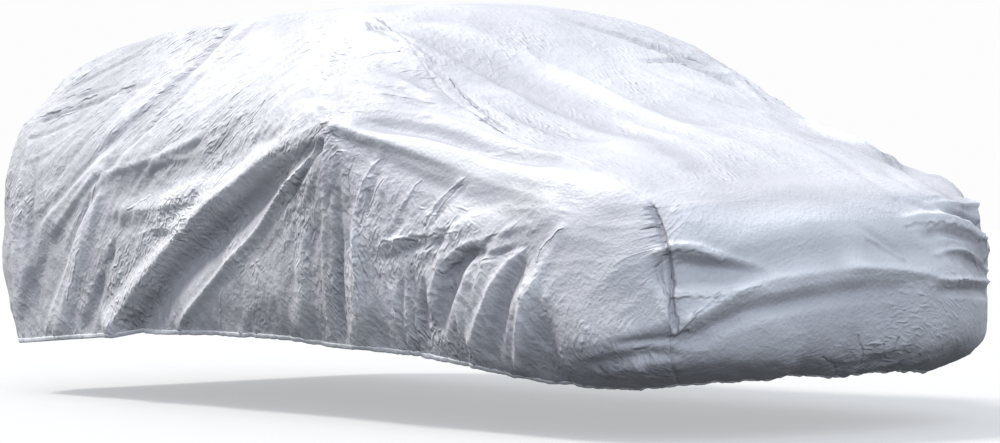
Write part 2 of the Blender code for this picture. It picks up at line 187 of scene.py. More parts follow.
def side_surface():
    """The right side panel as a grid of points, from the rear and from the hem."""
    points = np.array([[s.hem, s.skirt, s.waist, s.belt, s.seam] for s in SECTIONS])
    knots = lengths_along(points[:, -1])
    ribs = np.stack(
        [through(knots, points[:, i], COLUMN_SHARES * knots[-1]) for i in range(5)], axis=1
    )
    grid = []
    for rib in ribs:
        heights = lengths_along(rib)
        grid.append(through(heights, rib, ROW_SHARES * heights[-1]))
    return np.array(grid) * (1, -1, 1)


def tent_push(x, z):
    """How far the cloth is held out at a point of a side panel."""
    ahead = np.where(x > TENT.x, TENT.ahead, TENT.behind)
    above = np.where(z > TENT.z, TENT.above, TENT.below)
    apart = np.hypot((x - TENT.x) / ahead, (z - TENT.z) / above)
    return TENT.push * np.clip(1 - apart, 0, 1) ** TENT.sharpness


right_grid = side_surface()
right_grid[..., 1] -= tent_push(right_grid[..., 0], right_grid[..., 2])
grids = {"right": right_grid, "left": right_grid * (1, -1, 1)}
print("the right side is widest at", round(-right_grid[..., 1].min(), 3), "m from the middle")

# %% [markdown]
# The seam line is shared: the centre panel's outer lines take the very points of the side
# panels, as a sewn seam does. From there each line rises to the middle in one flat arc.

# %% Lay the centre panel
def border(values):
    """The seam's line of a side panel: up the rear corner, along the top, down the front."""
    return np.concatenate([values[0, :-1], values[:, -1], values[-1, -2::-1]])


def centre_surface(side):
    """The centre panel as a grid, from the rear hem over the top to the front hem."""
    edge = border(side)
    rear = SECTIONS[0]
    front = SECTIONS[-1]
    corners = (
        [rear.hem, rear.skirt, rear.waist, rear.belt]
        + [s.seam for s in SECTIONS]
        + [front.belt, front.waist, front.skirt, front.hem]
    )
    middles = np.array(
        list(END_LINES["rear"]) + [s.centre for s in SECTIONS] + list(END_LINES["front"])[::-1]
    )
    knots = lengths_along(np.array(corners))
    rear_end = knots[4]
    front_end = knots[-5]
    places = np.concatenate([
        ROW_SHARES[:-1] * rear_end,
        rear_end + COLUMN_SHARES * (front_end - rear_end),
        knots[-1] - ROW_SHARES[-2::-1] * (knots[-1] - front_end),
    ])
    line = through(knots, middles, places)
    middle = np.stack([line[:, 0], np.zeros(len(line)), line[:, 1]], axis=1)
    fall = np.abs(ACROSS_SHARES) ** CROWN
    grid = middle[:, None] + (edge - middle)[:, None] * fall[None, :, None]
    grid[..., 1] = edge[:, None, 1] * -ACROSS_SHARES[None, :]
    return grid


grids["centre"] = centre_surface(right_grid)
print("grids:", {name: grid.shape[:2] for name, grid in grids.items()})

# %% [markdown]
# A fold lifts the cloth along its own normal, which is the way the cloth faces. So each
# panel's normals are taken from its grid, and each point's distance from the seams is
# measured along the grid's lines, as a tape laid on the cloth would measure it.

# %% Normals and distances on each panel
SEWN_TO = {"right": 0, "left": -1}  # the centre panel's line that each side is sewn to


def unit(vectors):
    """The same directions, each of length 1."""
    return vectors / np.maximum(np.linalg.norm(vectors, axis=-1, keepdims=True), 1e-9)


def grid_normals(grid):
    """The normals of a grid's surface."""
    return unit(np.cross(np.gradient(grid, axis=0), np.gradient(grid, axis=1)))


def running(grid, axis):
    """How far each point is from the start of its grid line, and from the line's end."""
    steps = np.linalg.norm(np.diff(grid, axis=axis), axis=-1)
    start = np.concatenate(
        [np.zeros_like(np.take(steps, [0], axis=axis)), np.cumsum(steps, axis=axis)], axis=axis
    )
    return start, np.take(start, [-1], axis=axis) - start


own_normals = {name: grid_normals(grid) for name, grid in grids.items()}
own_normals["left"] *= -1
seams_away = {"centre": running(grids["centre"], 1)}
for side in SEWN_TO:
    from_rear, from_front = running(grids[side], 0)
    seams_away[side] = (from_rear, running(grids[side], 1)[1], from_front)
print("the seams are", round(lengths_along(border(right_grid))[-1], 2), "m long each")

# %% [markdown]
# Along a seam both panels have to use the same normal, or the seam would tear open. So the
# normals of a panel are eased, over a hand's width, into the mean of the two panels at the
# seam.

# %% Ease the normals into the seams
SEAM_EASE = 0.12


def ramp(values, start, end):
    """0 at the start and before it, 1 at the end and past it, and even between them."""
    return np.clip((values - start) / (end - start), 0, 1)


def near(distance):
    """1 on a seam, and 0 from SEAM_EASE away."""
    t = 1 - ramp(distance, 0, SEAM_EASE)
    return t * t * (3 - 2 * t)


def beside_seams(seam, grid):
    """A seam's values, laid along the rear, the top and the front of a side panel."""
    columns, rows = grid.shape[:2]
    top = seam[rows - 1: rows - 1 + columns]
    return seam[:rows][None, :], top[:, None], seam[::-1][:rows][None, :]


def side_normals(own, seam, distances):
    """A side panel's normals, eased into the seam's."""
    weights = [near(distance)[..., None] for distance in distances]
    mine = own * (1 - np.max(weights, axis=0))
    eased = [line * weight for line, weight in zip(beside_seams(seam, own), weights)]
    return unit(mine + eased[0] + eased[1] + eased[2])


def centre_normals(own, distances):
    """The centre panel's normals, eased into both seams'."""
    weights = [near(distance)[..., None] for distance in distances]
    return unit(
        own * (1 - np.maximum(*weights))
        + seam_normals["right"][:, None] * weights[0]
        + seam_normals["left"][:, None] * weights[1]
    )


seam_normals = {
    side: unit(border(own_normals[side]) + own_normals["centre"][:, line])
    for side, line in SEWN_TO.items()
}
normals = {
    side: side_normals(own_normals[side], seam_normals[side], seams_away[side]) for side in SEWN_TO
}
normals["centre"] = centre_normals(own_normals["centre"], seams_away["centre"])
meeting = np.sum(border(own_normals["right"]) * own_normals["centre"][:, SEWN_TO["right"]], axis=1)
print("the panels meet at up to", round(math.degrees(math.acos(meeting.min()))), "degrees")

# %% [markdown]
# These are the folds that the solids already carry. A fold runs through three places. It has
# a width and a height that change along it, and an edge: 0 fades evenly to both sides like a
# soft roll, 1 comes to a crest, and a height below zero makes it a trough. Most of them run
# from the point where the side is held out, down and back to the hem, as cloth does under
# its own weight.

# %% The main folds
Fold = namedtuple("Fold", "name start middle end widths heights edge")


def folds_from(*rows):
    """Folds from rows with places in centimetres, and widths and heights in millimetres."""
    return [
        Fold(name, *(np.array(place) / 100 for place in (start, middle, end)),
             np.array(widths) / 1000, np.array(heights) / 1000, edge)
        for name, start, middle, end, widths, heights, edge in rows
    ]


SIDE_FOLDS = folds_from(  # name, start, middle, end (cm), widths and heights (mm), edge
    ("ridge from tent to hem", (64, -98, 98), (17, -92, 71), (-62, -82, 29), (25, 40), (8, 14, 12), 0.8),
    ("trough behind it", (56, -98, 92), (-12, -89, 68), (-95, -82, 28), (35, 120), (-20, -36, -28), 0.0),
    ("soft ridge behind", (40, -95, 96), (-25, -88, 72), (-108, -82, 28), (50, 100), (4, 38, 36), 0.2),
    ("rear shoulder ridge", (-48, -87, 93), (-110, -86, 86), (-164, -86, 48), (80, 100), (2, 14, 8), 0.1),
    ("rear shoulder hollow", (-12, -84, 102), (-48, -88, 87), (-98, -87, 78), (80, 90), (-4, -20, -10), 0.0),
    ("crumpled roll", (6, -90, 90), (-42, -88, 76.5), (-90, -87, 70), (60, 75), (6, 21, 8), 0.3),
    ("broad swell over it", (10, -91, 87), (-20, -89, 76), (-55, -88, 69), (120, 110), (10, 22, 10), 0.0),
    ("tongue, hollow behind", (-102, -87, 66), (-86, -87, 66.5), (-66, -88, 64.5),
     (60, 60), (-2, -6, -3), 0.0),
    ("rear arch ridge", (-106, -87, 80), (-121, -87, 60), (-149, -83, 27), (70, 80), (4, 20, 16), 0.3),
    ("rear corner trough", (-116, -87, 80), (-146, -86, 60), (-172, -84, 30), (70, 100), (-4, -22, -14), 0.0),
    ("upper rear trough", (-62, -58, 137), (-84, -80, 106), (-114, -85, 89), (60, 90), (-10, -16, -4), 0.0),
    ("front shoulder ridge", (63, -97, 98), (117, -81, 86.5), (184, -68, 73), (40, 80), (10, 26, 12), 0.3),
    ("trough over shoulder", (73, -93, 97), (106, -79, 92.5), (166, -71, 80), (45, 60), (-14, -32, -8), 0.0),
    ("hollow under shoulder", (75, -93, 88), (130, -85, 73), (175, -78, 62), (80, 120), (-4, -14, -6), 0.0),
    ("dome over the front arch", (106, -89, 60), (134, -86, 69), (166, -82, 66), (90, 90), (4, 18, 6), 0.1),
    ("arch pocket", (104, -87, 34), (116, -88, 50), (126, -88, 55), (60, 60), (-14, -36, -18), 0.0),
    ("second arch pocket", (130, -84, 26), (143, -87, 47), (152, -86, 57), (50, 45), (-12, -26, -8), 0.0),
    ("ridge between them", (120, -85, 29), (135, -88, 46), (146, -87, 57), (45, 35), (12, 16, 6), 0.5),
    ("ridge beside arch", (165, -82, 66), (155, -87, 49), (139, -82, 21), (35, 50), (3, 16, 16), 0.6),
    ("dent ahead of the arch", (162, -84, 42), (156, -84, 30), (154, -78, 20), (70, 80), (0, -20, -10), 0.0),
    ("hanging ridge under the tent", (40, -93, 70), (32, -89, 49), (21, -83, 32), (60, 80), (6, 14, 12), 0.2),
    ("hanging ridge ahead of it", (74, -95, 80), (67, -91, 51), (56, -83, 29), (60, 80), (6, 16, 12), 0.2),
)
CENTRE_FOLDS = folds_from(
    ("long slope valley", (34, -61, 132), (100, -42, 107), (174, -37, 85), (70, 100), (-10, -20, -6), 0.0),
    ("roll beside the valley", (48, -45, 132), (106, -22, 107), (180, -12, 85), (80, 100), (4, 14, 4), 0.0),
    ("far top corner fold", (46, 10, 136), (70, 30, 125), (86, 52, 113), (70, 80), (-4, -16, -12), 0.0),
    ("hump at the far foot", (116, 64, 96), (132, 58, 94), (144, 58, 91), (90, 90), (16, 34, 26), 0.1),
    ("far front edge dip", (158, 67, 86), (172, 60, 82), (188, 58, 74), (110, 200), (-50, -56, -26), 0.0),
    ("right corner pocket", (195, -66, 52), (200, -57, 52), (207, -41, 50), (80, 40), (-26, -34, -6), 0.0),
    ("ridge over the nose", (197, -62, 37), (207, -44, 46), (212, -10, 52), (40, 90), (6, 18, 12), 0.2),
    ("nose roll", (212, -10, 52), (211, 18, 51), (204, 46, 46), (70, 60), (12, 14, 6), 0.2),
    ("right corner tuck", (174, -78, 24), (188, -71, 29), (198, -60, 33), (60, 60), (-10, -22, -10), 0.0),
    ("flap at the left corner", (208, 18, 65), (204, 40, 65), (195, 62, 56), (50, 60), (4, 20, 14), 0.4),
    ("left corner pocket", (208, 36, 56), (203, 50, 53), (196, 63, 50), (50, 60), (-4, -20, -20), 0.0),
    ("left corner point", (190, 64, 71.5), (190, 66, 70), (193, 66, 64), (60, 60), (24, 30, 4), 0.3),
    ("rear end drape, right", (-186, -50, 126), (-209, -30, 80), (-209, -5, 30), (80, 120), (8, 20, 12), 0.1),
    ("rear end drape, left", (-188, 42, 126), (-211, 26, 75), (-209, 20, 30), (80, 120), (6, 18, 12), 0.2),
    ("rear end slack", (-206, -52, 86), (-212, 5, 80), (-206, 55, 88), (90, 90), (-6, -22, -6), 0.0),
)
print(len(SIDE_FOLDS), "folds on each side and", len(CENTRE_FOLDS), "on the centre panel")

# %% [markdown]
# Between the main folds lie sharper creases, which only the thin sheet shows. They lie where
# the cloth is pinched. On the sides that is in a fan under the point that holds the cloth
# out, around the arch, along the upper rear side and beside the seam. Many of their places
# were picked by eye in a picture of the cover, and a separate script worked out where the
# camera's ray through each one meets the cloth. The other places were judged, and so were
# all widths and heights.

# %% The creases of a side
SIDE_CREASES = folds_from(
    ("main ridge, edge", (64, -98, 98.5), (20, -92.5, 73), (-58, -83, 31.5), (12, 20), (10, 14, 9), 1.0),
    ("crack beside the ridge", (58, -99, 93), (44, -96, 83), (25, -93, 71), (14, 18), (-6, -16, -5), 0.6),
    ("second edge beside the ridge", (63, -98, 94), (49, -96, 81), (31, -93, 67), (12, 18), (6, 13, 5), 0.9),
    ("upper edge of the trough", (60, -98, 99), (-18, -89, 75.5), (-101, -83, 32), (18, 30), (6, 8, 6), 0.6),
    ("fan edge one", (60, -98, 90), (52, -95, 66), (39, -83, 29), (18, 30), (4, 9, 8), 0.8),
    ("fan trough one", (66, -98, 88), (60, -94, 62), (47, -84, 29), (22, 40), (-4, -10, -10), 0.1),
    ("upright edge", (72, -95, 72), (70, -93, 59), (66, -86, 36), (16, 26), (5, 12, 8), 0.9),
    ("pair of short creases, first", (81, -94, 88), (77, -95, 80), (73, -95, 71), (11, 14), (6, 12, 6), 1.0),
    ("pair of short creases, dip", (85, -94, 87), (81, -94, 79), (77, -94, 70), (12, 14), (-4, -8, -4), 0.4),
    ("pair of short creases, second", (88, -93, 86), (85, -94, 78), (80, -94, 69), (10, 13), (5, 10, 5), 1.0),
    ("long slanting crease", (116, -85, 81), (108, -89, 73), (99, -90, 63), (10, 13), (5, 12, 5), 1.0),
    ("dip beside it", (119, -85, 79), (111, -89, 71), (102, -90, 61), (12, 14), (-4, -8, -4), 0.3),
    ("slanting crease behind", (99, -90, 81), (94, -91, 74), (86, -92, 65), (10, 13), (4, 10, 5), 1.0),
    ("crumple line", (80, -92, 59), (98, -90, 63), (120, -87, 66), (14, 14), (5, 9, 5), 0.9),
    ("dip under the crumple line", (82, -92, 55), (99, -90, 59), (116, -88, 61), (22, 22), (-4, -9, -4), 0.2),
    ("third fan ridge", (93, -90, 54), (90, -87, 42), (85, -83, 28), (22, 34), (4, 10, 8), 0.6),
    ("third fan trough", (101, -88, 48), (97, -86, 38), (93, -83, 26), (26, 40), (-6, -12, -10), 0.1),
    ("patch, upper edge", (-108, -86, 84), (-48, -86, 94), (6, -82, 111), (20, 26), (5, 8, 3), 0.7),
    ("patch, lobe", (-106, -86, 86), (-124, -87, 77), (-148, -86, 62), (20, 28), (8, 14, 8), 0.7),
    ("patch, left dip", (-106, -87, 80), (-120, -87, 70), (-134, -86, 56), (24, 34), (-4, -12, -6), 0.1),
    ("patch, inner crease", (-106, -87, 84), (-109, -87, 74), (-116, -87, 62), (16, 22), (6, 9, 4), 0.9),
    ("patch, cross crease", (-72, -87, 84), (-58, -87, 80), (-46, -87, 84), (18, 18), (3, 8, 3), 0.8),
    ("tongue edge", (-82, -88, 71), (-54, -88, 72.5), (-24, -89, 76), (14, 18), (5, 9, 2), 0.8),
    ("tongue, swell under", (-68, -88, 66.5), (-50, -88, 68), (-36, -88, 71), (50, 50), (5, 12, 8), 0.1),
    ("tongue, second edge", (-84, -88, 61), (-62, -88, 64), (-42, -89, 62), (14, 16), (4, 8, 4), 0.8),
    ("high crumple one", (-22, -80, 106), (-34, -84, 98), (-50, -86, 90), (16, 20), (-5, -14, -8), 0.8),
    ("high crumple two", (-8, -80, 108), (-22, -84, 98), (-38, -86, 88), (16, 20), (5, 14, 8), 0.9),
    ("first long trough", (-65, -58, 137), (-90, -79, 107), (-155, -87, 68), (24, 36), (-5, -15, -10), 0.3),
    ("first long ridge", (-56, -59, 137), (-82, -80, 106), (-130, -87, 78), (24, 34), (4, 10, 5), 0.6),
    ("second long trough", (-46, -59, 136), (-75, -82, 104), (-112, -87, 82), (22, 30), (-5, -14, -8), 0.3),
    ("second trough, fork", (-40, -68, 127), (-50, -74, 119), (-66, -80, 110), (18, 22), (-3, -7, -5), 0.4),
    ("third long trough", (-86, -58, 136), (-112, -78, 108), (-150, -86, 80), (20, 30), (-3, -8, -5), 0.3),
    ("rear corner pinch", (-169, -78, 105), (-145, -75, 110), (-98, -72, 117), (18, 18), (-14, -22, -5), 0.5),
    ("lip over the pinch", (-169, -76, 108.5), (-142, -72, 114), (-98, -69, 120), (20, 20), (6, 10, 3), 0.7),
    ("pinch, fork", (-162, -77, 107), (-146, -72, 115), (-120, -71, 117.5), (10, 12), (-6, -12, -5), 0.6),
    ("line above pinch", (-170, -72, 112), (-150, -66, 122), (-120, -62, 129), (12, 14), (-5, -12, -5), 0.5),
    ("line below pinch", (-174, -80, 98), (-158, -80, 100), (-140, -78, 105), (12, 14), (-6, -12, -5), 0.5),
    ("second line below", (-170, -83, 90), (-152, -83, 94), (-134, -80, 102), (12, 14), (5, 10, 5), 0.7),
    ("rear quarter ridge", (-172, -82, 96), (-176, -85, 70), (-180, -83, 32), (24, 40), (5, 11, 7), 0.5),
    ("rear quarter trough", (-162, -83, 92), (-164, -85, 64), (-166, -84, 32), (30, 50), (-4, -14, -10), 0.1),
    ("rear flank fold", (-92, -87, 65), (-108, -86, 47), (-128, -82, 28), (30, 50), (-6, -14, -10), 0.1),
    ("rear hem ridge", (-124, -87, 62), (-138, -86, 46), (-158, -82, 26), (22, 34), (4, 10, 8), 0.6),
    ("lip of the arch, rising", (104, -89, 45), (112, -89, 54), (123, -88, 60), (14, 16), (5, 10, 7), 1.0),
    ("lip of the arch, level", (122, -88, 60), (138, -87, 63.5), (161, -82, 69), (16, 16), (7, 7, 2), 0.8),
    ("dip under the lip", (110, -88, 49), (120, -88, 55.5), (131, -87, 58), (30, 24), (-12, -28, -10), 0.2),
    ("small ridge in the pocket", (129, -88, 59), (125, -88, 55), (122, -88, 49), (16, 18), (4, 9, 4), 0.9),
    ("dark fold in arch", (130, -88, 56), (138, -87, 57.5), (149, -87, 60), (18, 16), (-10, -16, -6), 0.4),
    ("edge between pockets", (145, -87, 56), (136, -88, 47), (121, -85, 30), (16, 20), (5, 9, 6), 0.9),
    ("arch ridge edge", (164, -82, 66), (154, -86, 55), (150, -87, 44), (16, 18), (6, 12, 7), 1.0),
    ("arch ridge edge, low", (151, -87, 45), (145, -85, 32), (138, -82, 22), (18, 26), (7, 10, 6), 0.8),
    ("lower edge of the band", (64, -98, 98.5), (104, -87, 86.5), (158, -81, 72.5), (26, 40), (8, 9, 3), 0.7),
    ("dip below the band", (70, -97, 93), (102, -89, 80), (150, -84, 69), (30, 45), (-3, -6, -3), 0.1),
    ("edge over the band", (66, -93, 102), (100, -75, 98), (162, -68, 84), (18, 24), (6, 9, 3), 0.6),
    ("dent by the seam", (56, -74, 117), (74, -70, 112), (94, -68, 104), (60, 50), (-10, -18, -6), 0.0),
    ("crease over dent", (48, -80, 116.5), (59, -72, 118.5), (66, -68, 118.5), (12, 12), (-5, -12, -5), 0.7),
    ("sharp line", (68, -64.5, 118.5), (90, -65.5, 107.5), (113, -66.5, 97), (9, 10), (-7, -14, -8), 0.6),
    ("sharp line, fork", (96, -73, 101), (104, -70, 100), (112, -67, 97.5), (10, 10), (-3, -8, -6), 0.6),
    ("seam wrinkle, first", (38, -76, 120), (54, -67, 123), (72, -63, 118), (14, 14), (-5, -12, -8), 0.6),
    ("seam wrinkle, second", (53, -84, 113), (70, -79, 110), (86, -76, 105), (14, 14), (-4, -9, -4), 0.6),
    ("seam wrinkle, third", (62, -88, 107), (79, -80, 106), (95, -73, 102), (14, 14), (-4, -9, -4), 0.6),
    ("front corner tuck", (180, -75, 31), (189, -70, 31.5), (197, -62, 33), (22, 18), (-4, -12, -6), 0.3),
    ("low tuck", (170, -78, 23.5), (185, -72, 26), (195, -62, 27), (30, 24), (-4, -12, -8), 0.2),
    ("ridge over the low tuck", (166, -79, 27), (184, -73, 29.5), (194, -65, 30), (20, 18), (3, 8, 4), 0.6),
)
print(len(SIDE_CREASES), "creases on each side")

# %% [markdown]
# On the centre panel the creases lie at the two front corners, along the nose and down the
# front slope. Everywhere else the cloth is stretched smooth.

# %% The creases of the centre panel
CENTRE_CREASES = folds_from(
    ("corner, upper", (187, -66.8, 73.5), (190.5, -66.8, 66), (193.5, -66.2, 58.5),
     (14, 16), (-6, -18, -14), 0.8),
    ("corner, lower", (193.5, -66.2, 57), (195, -65.5, 46), (195, -65, 34), (16, 14), (-18, -16, -10), 0.7),
    ("pocket, brow", (191, -68, 57.5), (196, -62, 59.8), (202, -53, 57.5), (20, 18), (12, 13, 6), 0.9),
    ("brow, falling", (201, -55, 57.5), (205, -46, 54.5), (208, -36, 50.5), (18, 18), (7, 6, 2), 0.8),
    ("pocket, depth", (196, -63, 55), (200, -56, 54), (205, -46, 52), (36, 20), (-14, -16, -3), 0.1),
    ("pocket, lower edge", (195, -65, 46), (199, -59, 45.5), (203, -52, 45.5), (14, 14), (4, 5, 4), 0.9),
    ("rising edge", (195.5, -64.5, 33.5), (199.5, -58, 39.5), (205, -47, 46.5), (20, 24), (16, 20, 12), 0.9),
    ("rising edge, drop", (197.5, -62, 30), (202.5, -54, 36.5), (208, -42, 43.5),
     (34, 40), (-10, -16, -6), 0.0),
    ("corner, inner edge", (192, -68, 44), (194, -66.5, 38), (195.5, -65, 33), (18, 18), (6, 10, 10), 0.9),
    ("nose edge", (204, -48, 46.5), (209, -33, 50), (213, -4, 52), (22, 30), (8, 5, 3), 0.7),
    ("nose edge, far", (213, -10, 52), (212, 16, 50), (208, 38, 45.5), (26, 24), (6, 8, 4), 0.7),
    ("nose edge, hollow", (199, -57, 32), (209, -34, 42), (213, 10, 45), (40, 50), (-8, -14, -6), 0.0),
    ("roll along the nose top", (195, -57, 67), (206, -28, 65), (207, 19, 67), (100, 120), (8, 18, 10), 0.1),
    ("left flap edge", (208, 17, 66.5), (205, 37, 67), (197, 60, 59), (18, 20), (8, 18, 12), 0.9),
    ("left flap, fold under", (210, 24, 61), (206, 40, 62), (197, 62, 55), (26, 30), (-6, -22, -18), 0.2),
    ("left second flap", (210, 27, 55), (205, 46, 56), (194, 66, 49), (18, 20), (8, 18, 12), 0.9),
    ("left lower flap", (211, 27, 47.5), (206, 44, 47), (194, 66, 45.5), (16, 16), (4, 14, 12), 0.9),
    ("left lower flap, dip", (211, 30, 44), (205, 46, 43.5), (195, 65, 42), (28, 28), (-6, -18, -14), 0.2),
    ("slope valley, edge", (32, -62, 132.5), (83, -49, 116), (160, -30, 90), (16, 40), (-12, -12, -4), 0.5),
    ("slope valley, lip", (34, -58, 133.5), (86, -43, 116), (166, -24, 90), (20, 40), (6, 10, 4), 0.4),
    ("second valley", (96, -60, 106), (117, -57, 98), (144, -50, 92), (34, 40), (-6, -14, -6), 0.2),
    ("top corner wrinkle", (40, -56, 130), (52, -50, 128), (66, -50, 122), (18, 22), (-3, -7, -4), 0.5),
    ("far slope wrinkle", (50, 14, 135), (66, 32, 127), (75, 50, 119), (22, 26), (-6, -18, -10), 0.4),
    ("far slope pinch", (83, 14, 119), (80, 26, 119), (76, 40, 120), (14, 16), (-6, -18, -8), 0.6),
    ("far slope fork", (66, 20, 128), (78, 34, 120), (80, 56, 115), (16, 18), (4, 12, 6), 0.6),
    ("far edge line", (66, 64.5, 120.5), (81, 63, 113), (98, 58, 106), (14, 16), (-6, -14, -8), 0.6),
    ("far edge roll", (70, 58, 119), (88, 54, 110), (104, 50, 104), (24, 26), (4, 12, 6), 0.4),
    ("second far slope wrinkle", (84, 10, 118), (101, 20, 109), (116, 36, 102), (22, 26), (-4, -12, -6), 0.4),
    ("far deck fan, first", (186, 18, 80), (198, 15, 76), (205, 19, 70), (14, 16), (-3, -8, -4), 0.5),
    ("far deck fan, second", (177, 36, 83), (194, 29, 77), (202, 34, 70), (16, 18), (-3, -9, -4), 0.5),
    ("slanting line on the nose", (209, -4, 64), (211, 4, 60), (212, 13, 54.5), (16, 18), (-3, -8, -4), 0.4),
    ("left flap, dark side", (203, 38, 67.5), (197, 55, 65.5), (193, 65, 63), (30, 34), (-10, -40, -34), 0.3),
    ("left corner, top edge", (203, 30, 70), (195, 55, 71.2), (190, 65.5, 70.5), (20, 20), (4, 14, 14), 0.8),
    ("deck wrinkle", (120, -40, 100), (152, -30, 92), (190, -34, 79), (30, 36), (3, 9, 3), 0.3),
    ("second deck wrinkle", (130, 10, 99), (162, 20, 90), (196, 16, 77), (30, 36), (-3, -8, -3), 0.2),
    ("corner fan, first", (160, -66, 86), (174, -60, 84), (188, -62, 75), (20, 16), (-2, -6, -3), 0.5),
    ("corner fan, second", (164, -54, 87), (178, -52, 83), (190, -58, 74), (20, 16), (-2, -6, -3), 0.5),
)
print(len(CENTRE_CREASES), "creases on the centre panel")

# %% [markdown]
# One function lifts the points near every fold. It measures how far a point lies beside
# the fold's curve, not how deep under it, so a fold follows the cloth round a bend. The left
# side hangs in the same folds, a little further back and shallower, as cloth never hangs
# the same way twice.

# %% Lift the folds
PATH_STEPS = 8
DEPTH_SHARE = 0.3  # how much of a point's depth under the curve counts as distance from it
LEFT_SHIFT = 0.06
LEFT_EASE = 0.85


def mirrored(folds):
    """The right side's folds, as they lie on the left side."""
    return [
        Fold("left " + fold.name,
             *(place * (1, -1, 1) - (LEFT_SHIFT, 0, 0) for place in fold[1:4]),
             fold.widths, fold.heights * LEFT_EASE, fold.edge)
        for fold in folds
    ]


def fold_relief(points, normals, folds):
    """How far the folds lift each point along its normal."""
    relief = np.zeros(points.shape[:-1])
    t = np.linspace(0, 1, PATH_STEPS + 1)[:, None]
    for fold in folds:
        path = (fold.start * (1 - t) * (1 - 2 * t) + fold.middle * 4 * t * (1 - t)
                + fold.end * t * (2 * t - 1))
        reach = max(fold.widths) / DEPTH_SHARE
        inside = np.all((points > path.min(0) - reach) & (points < path.max(0) + reach), axis=-1)
        spot, facing = points[inside], normals[inside]
        nearest = np.full(len(spot), np.inf)
        along = np.zeros(len(spot))
        for i, (a, b) in enumerate(zip(path, path[1:])):
            step = b - a
            share = np.clip((spot - a) @ step / (step @ step), 0, 1)
            offset = spot - a - share[:, None] * step
            depth = np.sum(offset * facing, axis=1)
            beside = np.maximum(np.sum(offset**2, axis=1) - depth**2, 0)
            apart = np.sqrt(beside + (DEPTH_SHARE * depth) ** 2)
            closer = apart < nearest
            nearest = np.where(closer, apart, nearest)
            along = np.where(closer, (i + share) / PATH_STEPS, along)
        width = fold.widths[0] + (fold.widths[1] - fold.widths[0]) * along
        d = np.clip(nearest / width, 0, 1)
        profile = (1 - fold.edge) * (1 - d * d) ** 2 + fold.edge * (1 - d) ** 2
        relief[inside] += np.interp(along, (0, 0.5, 1), fold.heights) * profile
    return relief


main_folds = SIDE_FOLDS + CENTRE_FOLDS + mirrored(SIDE_FOLDS)
all_creases = SIDE_CREASES + CENTRE_CREASES + mirrored(SIDE_CREASES)
relief = {
    name: fold_relief(grid, normals[name], main_folds + all_creases)
    for name, grid in grids.items()
}
for name, lift in relief.items():
    print(name, "folds lift from", round(lift.min(), 3), "to", round(lift.max(), 3), "m")

# %% [markdown]
# A coated cloth is stiff for its weight, so it also breaks into many short creases. Drawing
# hundreds by hand is no use, but they aren't random either: they run along the pull of the
# cloth. A small table says which way the cloth is pulled at some places, in degrees from
# level towards up, and how crumpled it is there. Every point takes a mean of the table, in
# which the nearest places count most.

# %% The pull of the cloth
Pull = namedtuple("Pull", "place angle crumple")
PULL_BLUR = 0.004  # square metres: keeps a place of the table from ruling the points on it


def pulls_from(*rows):
    """Pulls from rows with places in centimetres."""
    return [Pull(np.array(place) / 100, angle, crumple) for place, angle, crumple in rows]


SIDE_PULLS = pulls_from(  # place (cm), angle, crumple
    ((-190, 80, 35), 80, 0.9), ((-175, 80, 75), 68, 1.0), ((-160, 70, 110), 38, 0.9),
    ((-130, 84, 40), 62, 0.8), ((-115, 85, 80), 48, 0.8), ((-95, 70, 120), 52, 0.7),
    ((-55, 86, 90), 34, 1.0), ((-45, 87, 70), 24, 1.5), ((-50, 84, 40), 40, 0.5),
    ((-20, 70, 120), 50, 0.5), ((15, 90, 90), 36, 1.1), ((10, 88, 60), 48, 0.9),
    ((5, 84, 35), 44, 0.6), ((50, 90, 75), 72, 1.4), ((45, 86, 40), 72, 0.9),
    ((85, 88, 70), 66, 1.5), ((80, 86, 40), 76, 1.1), ((60, 72, 115), -24, 0.9),
    ((76, 70, 112), -16, 1.7), ((85, 88, 92), -20, 0.15), ((105, 84, 84), -18, 0.15),
    ((130, 80, 78), -14, 0.15), ((115, 87, 55), 52, 1.3), ((120, 85, 30), 60, 1.1),
    ((145, 84, 60), 40, 1.0), ((150, 84, 35), 62, 0.8), ((160, 78, 76), -12, 0.2),
    ((170, 78, 58), 20, 0.25), ((180, 74, 45), 30, 0.3), ((166, 80, 38), 40, 0.35),
    ((180, 74, 25), 60, 0.6),
)
CENTRE_PULLS = pulls_from(
    ((-205, 0, 40), 0, 0.6), ((-210, 40, 80), 25, 0.8), ((-210, -40, 80), -25, 0.8),
    ((-180, 0, 130), 0, 0.6), ((-120, 30, 140), 12, 0.4), ((-60, -20, 142), -8, 0.3),
    ((10, 0, 141), 4, 0.3), ((55, -50, 128), 20, 0.8), ((60, 40, 126), 28, 0.9),
    ((85, -50, 110), 12, 0.9), ((90, 0, 116), 8, 0.6), ((100, 50, 105), 30, 0.9),
    ((130, -40, 95), 4, 0.6), ((135, 20, 98), 10, 0.6), ((170, -30, 86), -4, 0.5),
    ((175, 40, 84), 24, 0.7), ((202, -40, 66), 84, 0.25), ((206, 10, 66), 88, 0.2),
    ((203, 50, 62), 60, 1.0), ((200, -56, 48), 60, 0.9), ((212, 0, 45), 90, 0.2),
    ((205, 50, 45), 75, 0.4), ((208, -20, 30), 70, 0.2), ((208, 30, 30), 100, 0.3),
    ((202, -40, 24), 60, 0.3), ((204, 10, 20), 90, 0.7),
)


def pull_of(grid, pulls, side):
    """The direction of the pull at each point, in radians, and how crumpled it is there."""
    turn = np.zeros(grid.shape[:-1], complex)
    crumple = np.zeros(grid.shape[:-1])
    total = np.zeros(grid.shape[:-1])
    for pull in pulls:
        apart = np.sum((grid - pull.place * (1, side, 1)) ** 2, axis=-1)
        weight = 1 / (apart + PULL_BLUR) ** 2
        turn += weight * np.exp(2j * math.radians(pull.angle))
        crumple += weight * pull.crumple
        total += weight
    return np.angle(turn) / 2, crumple / total


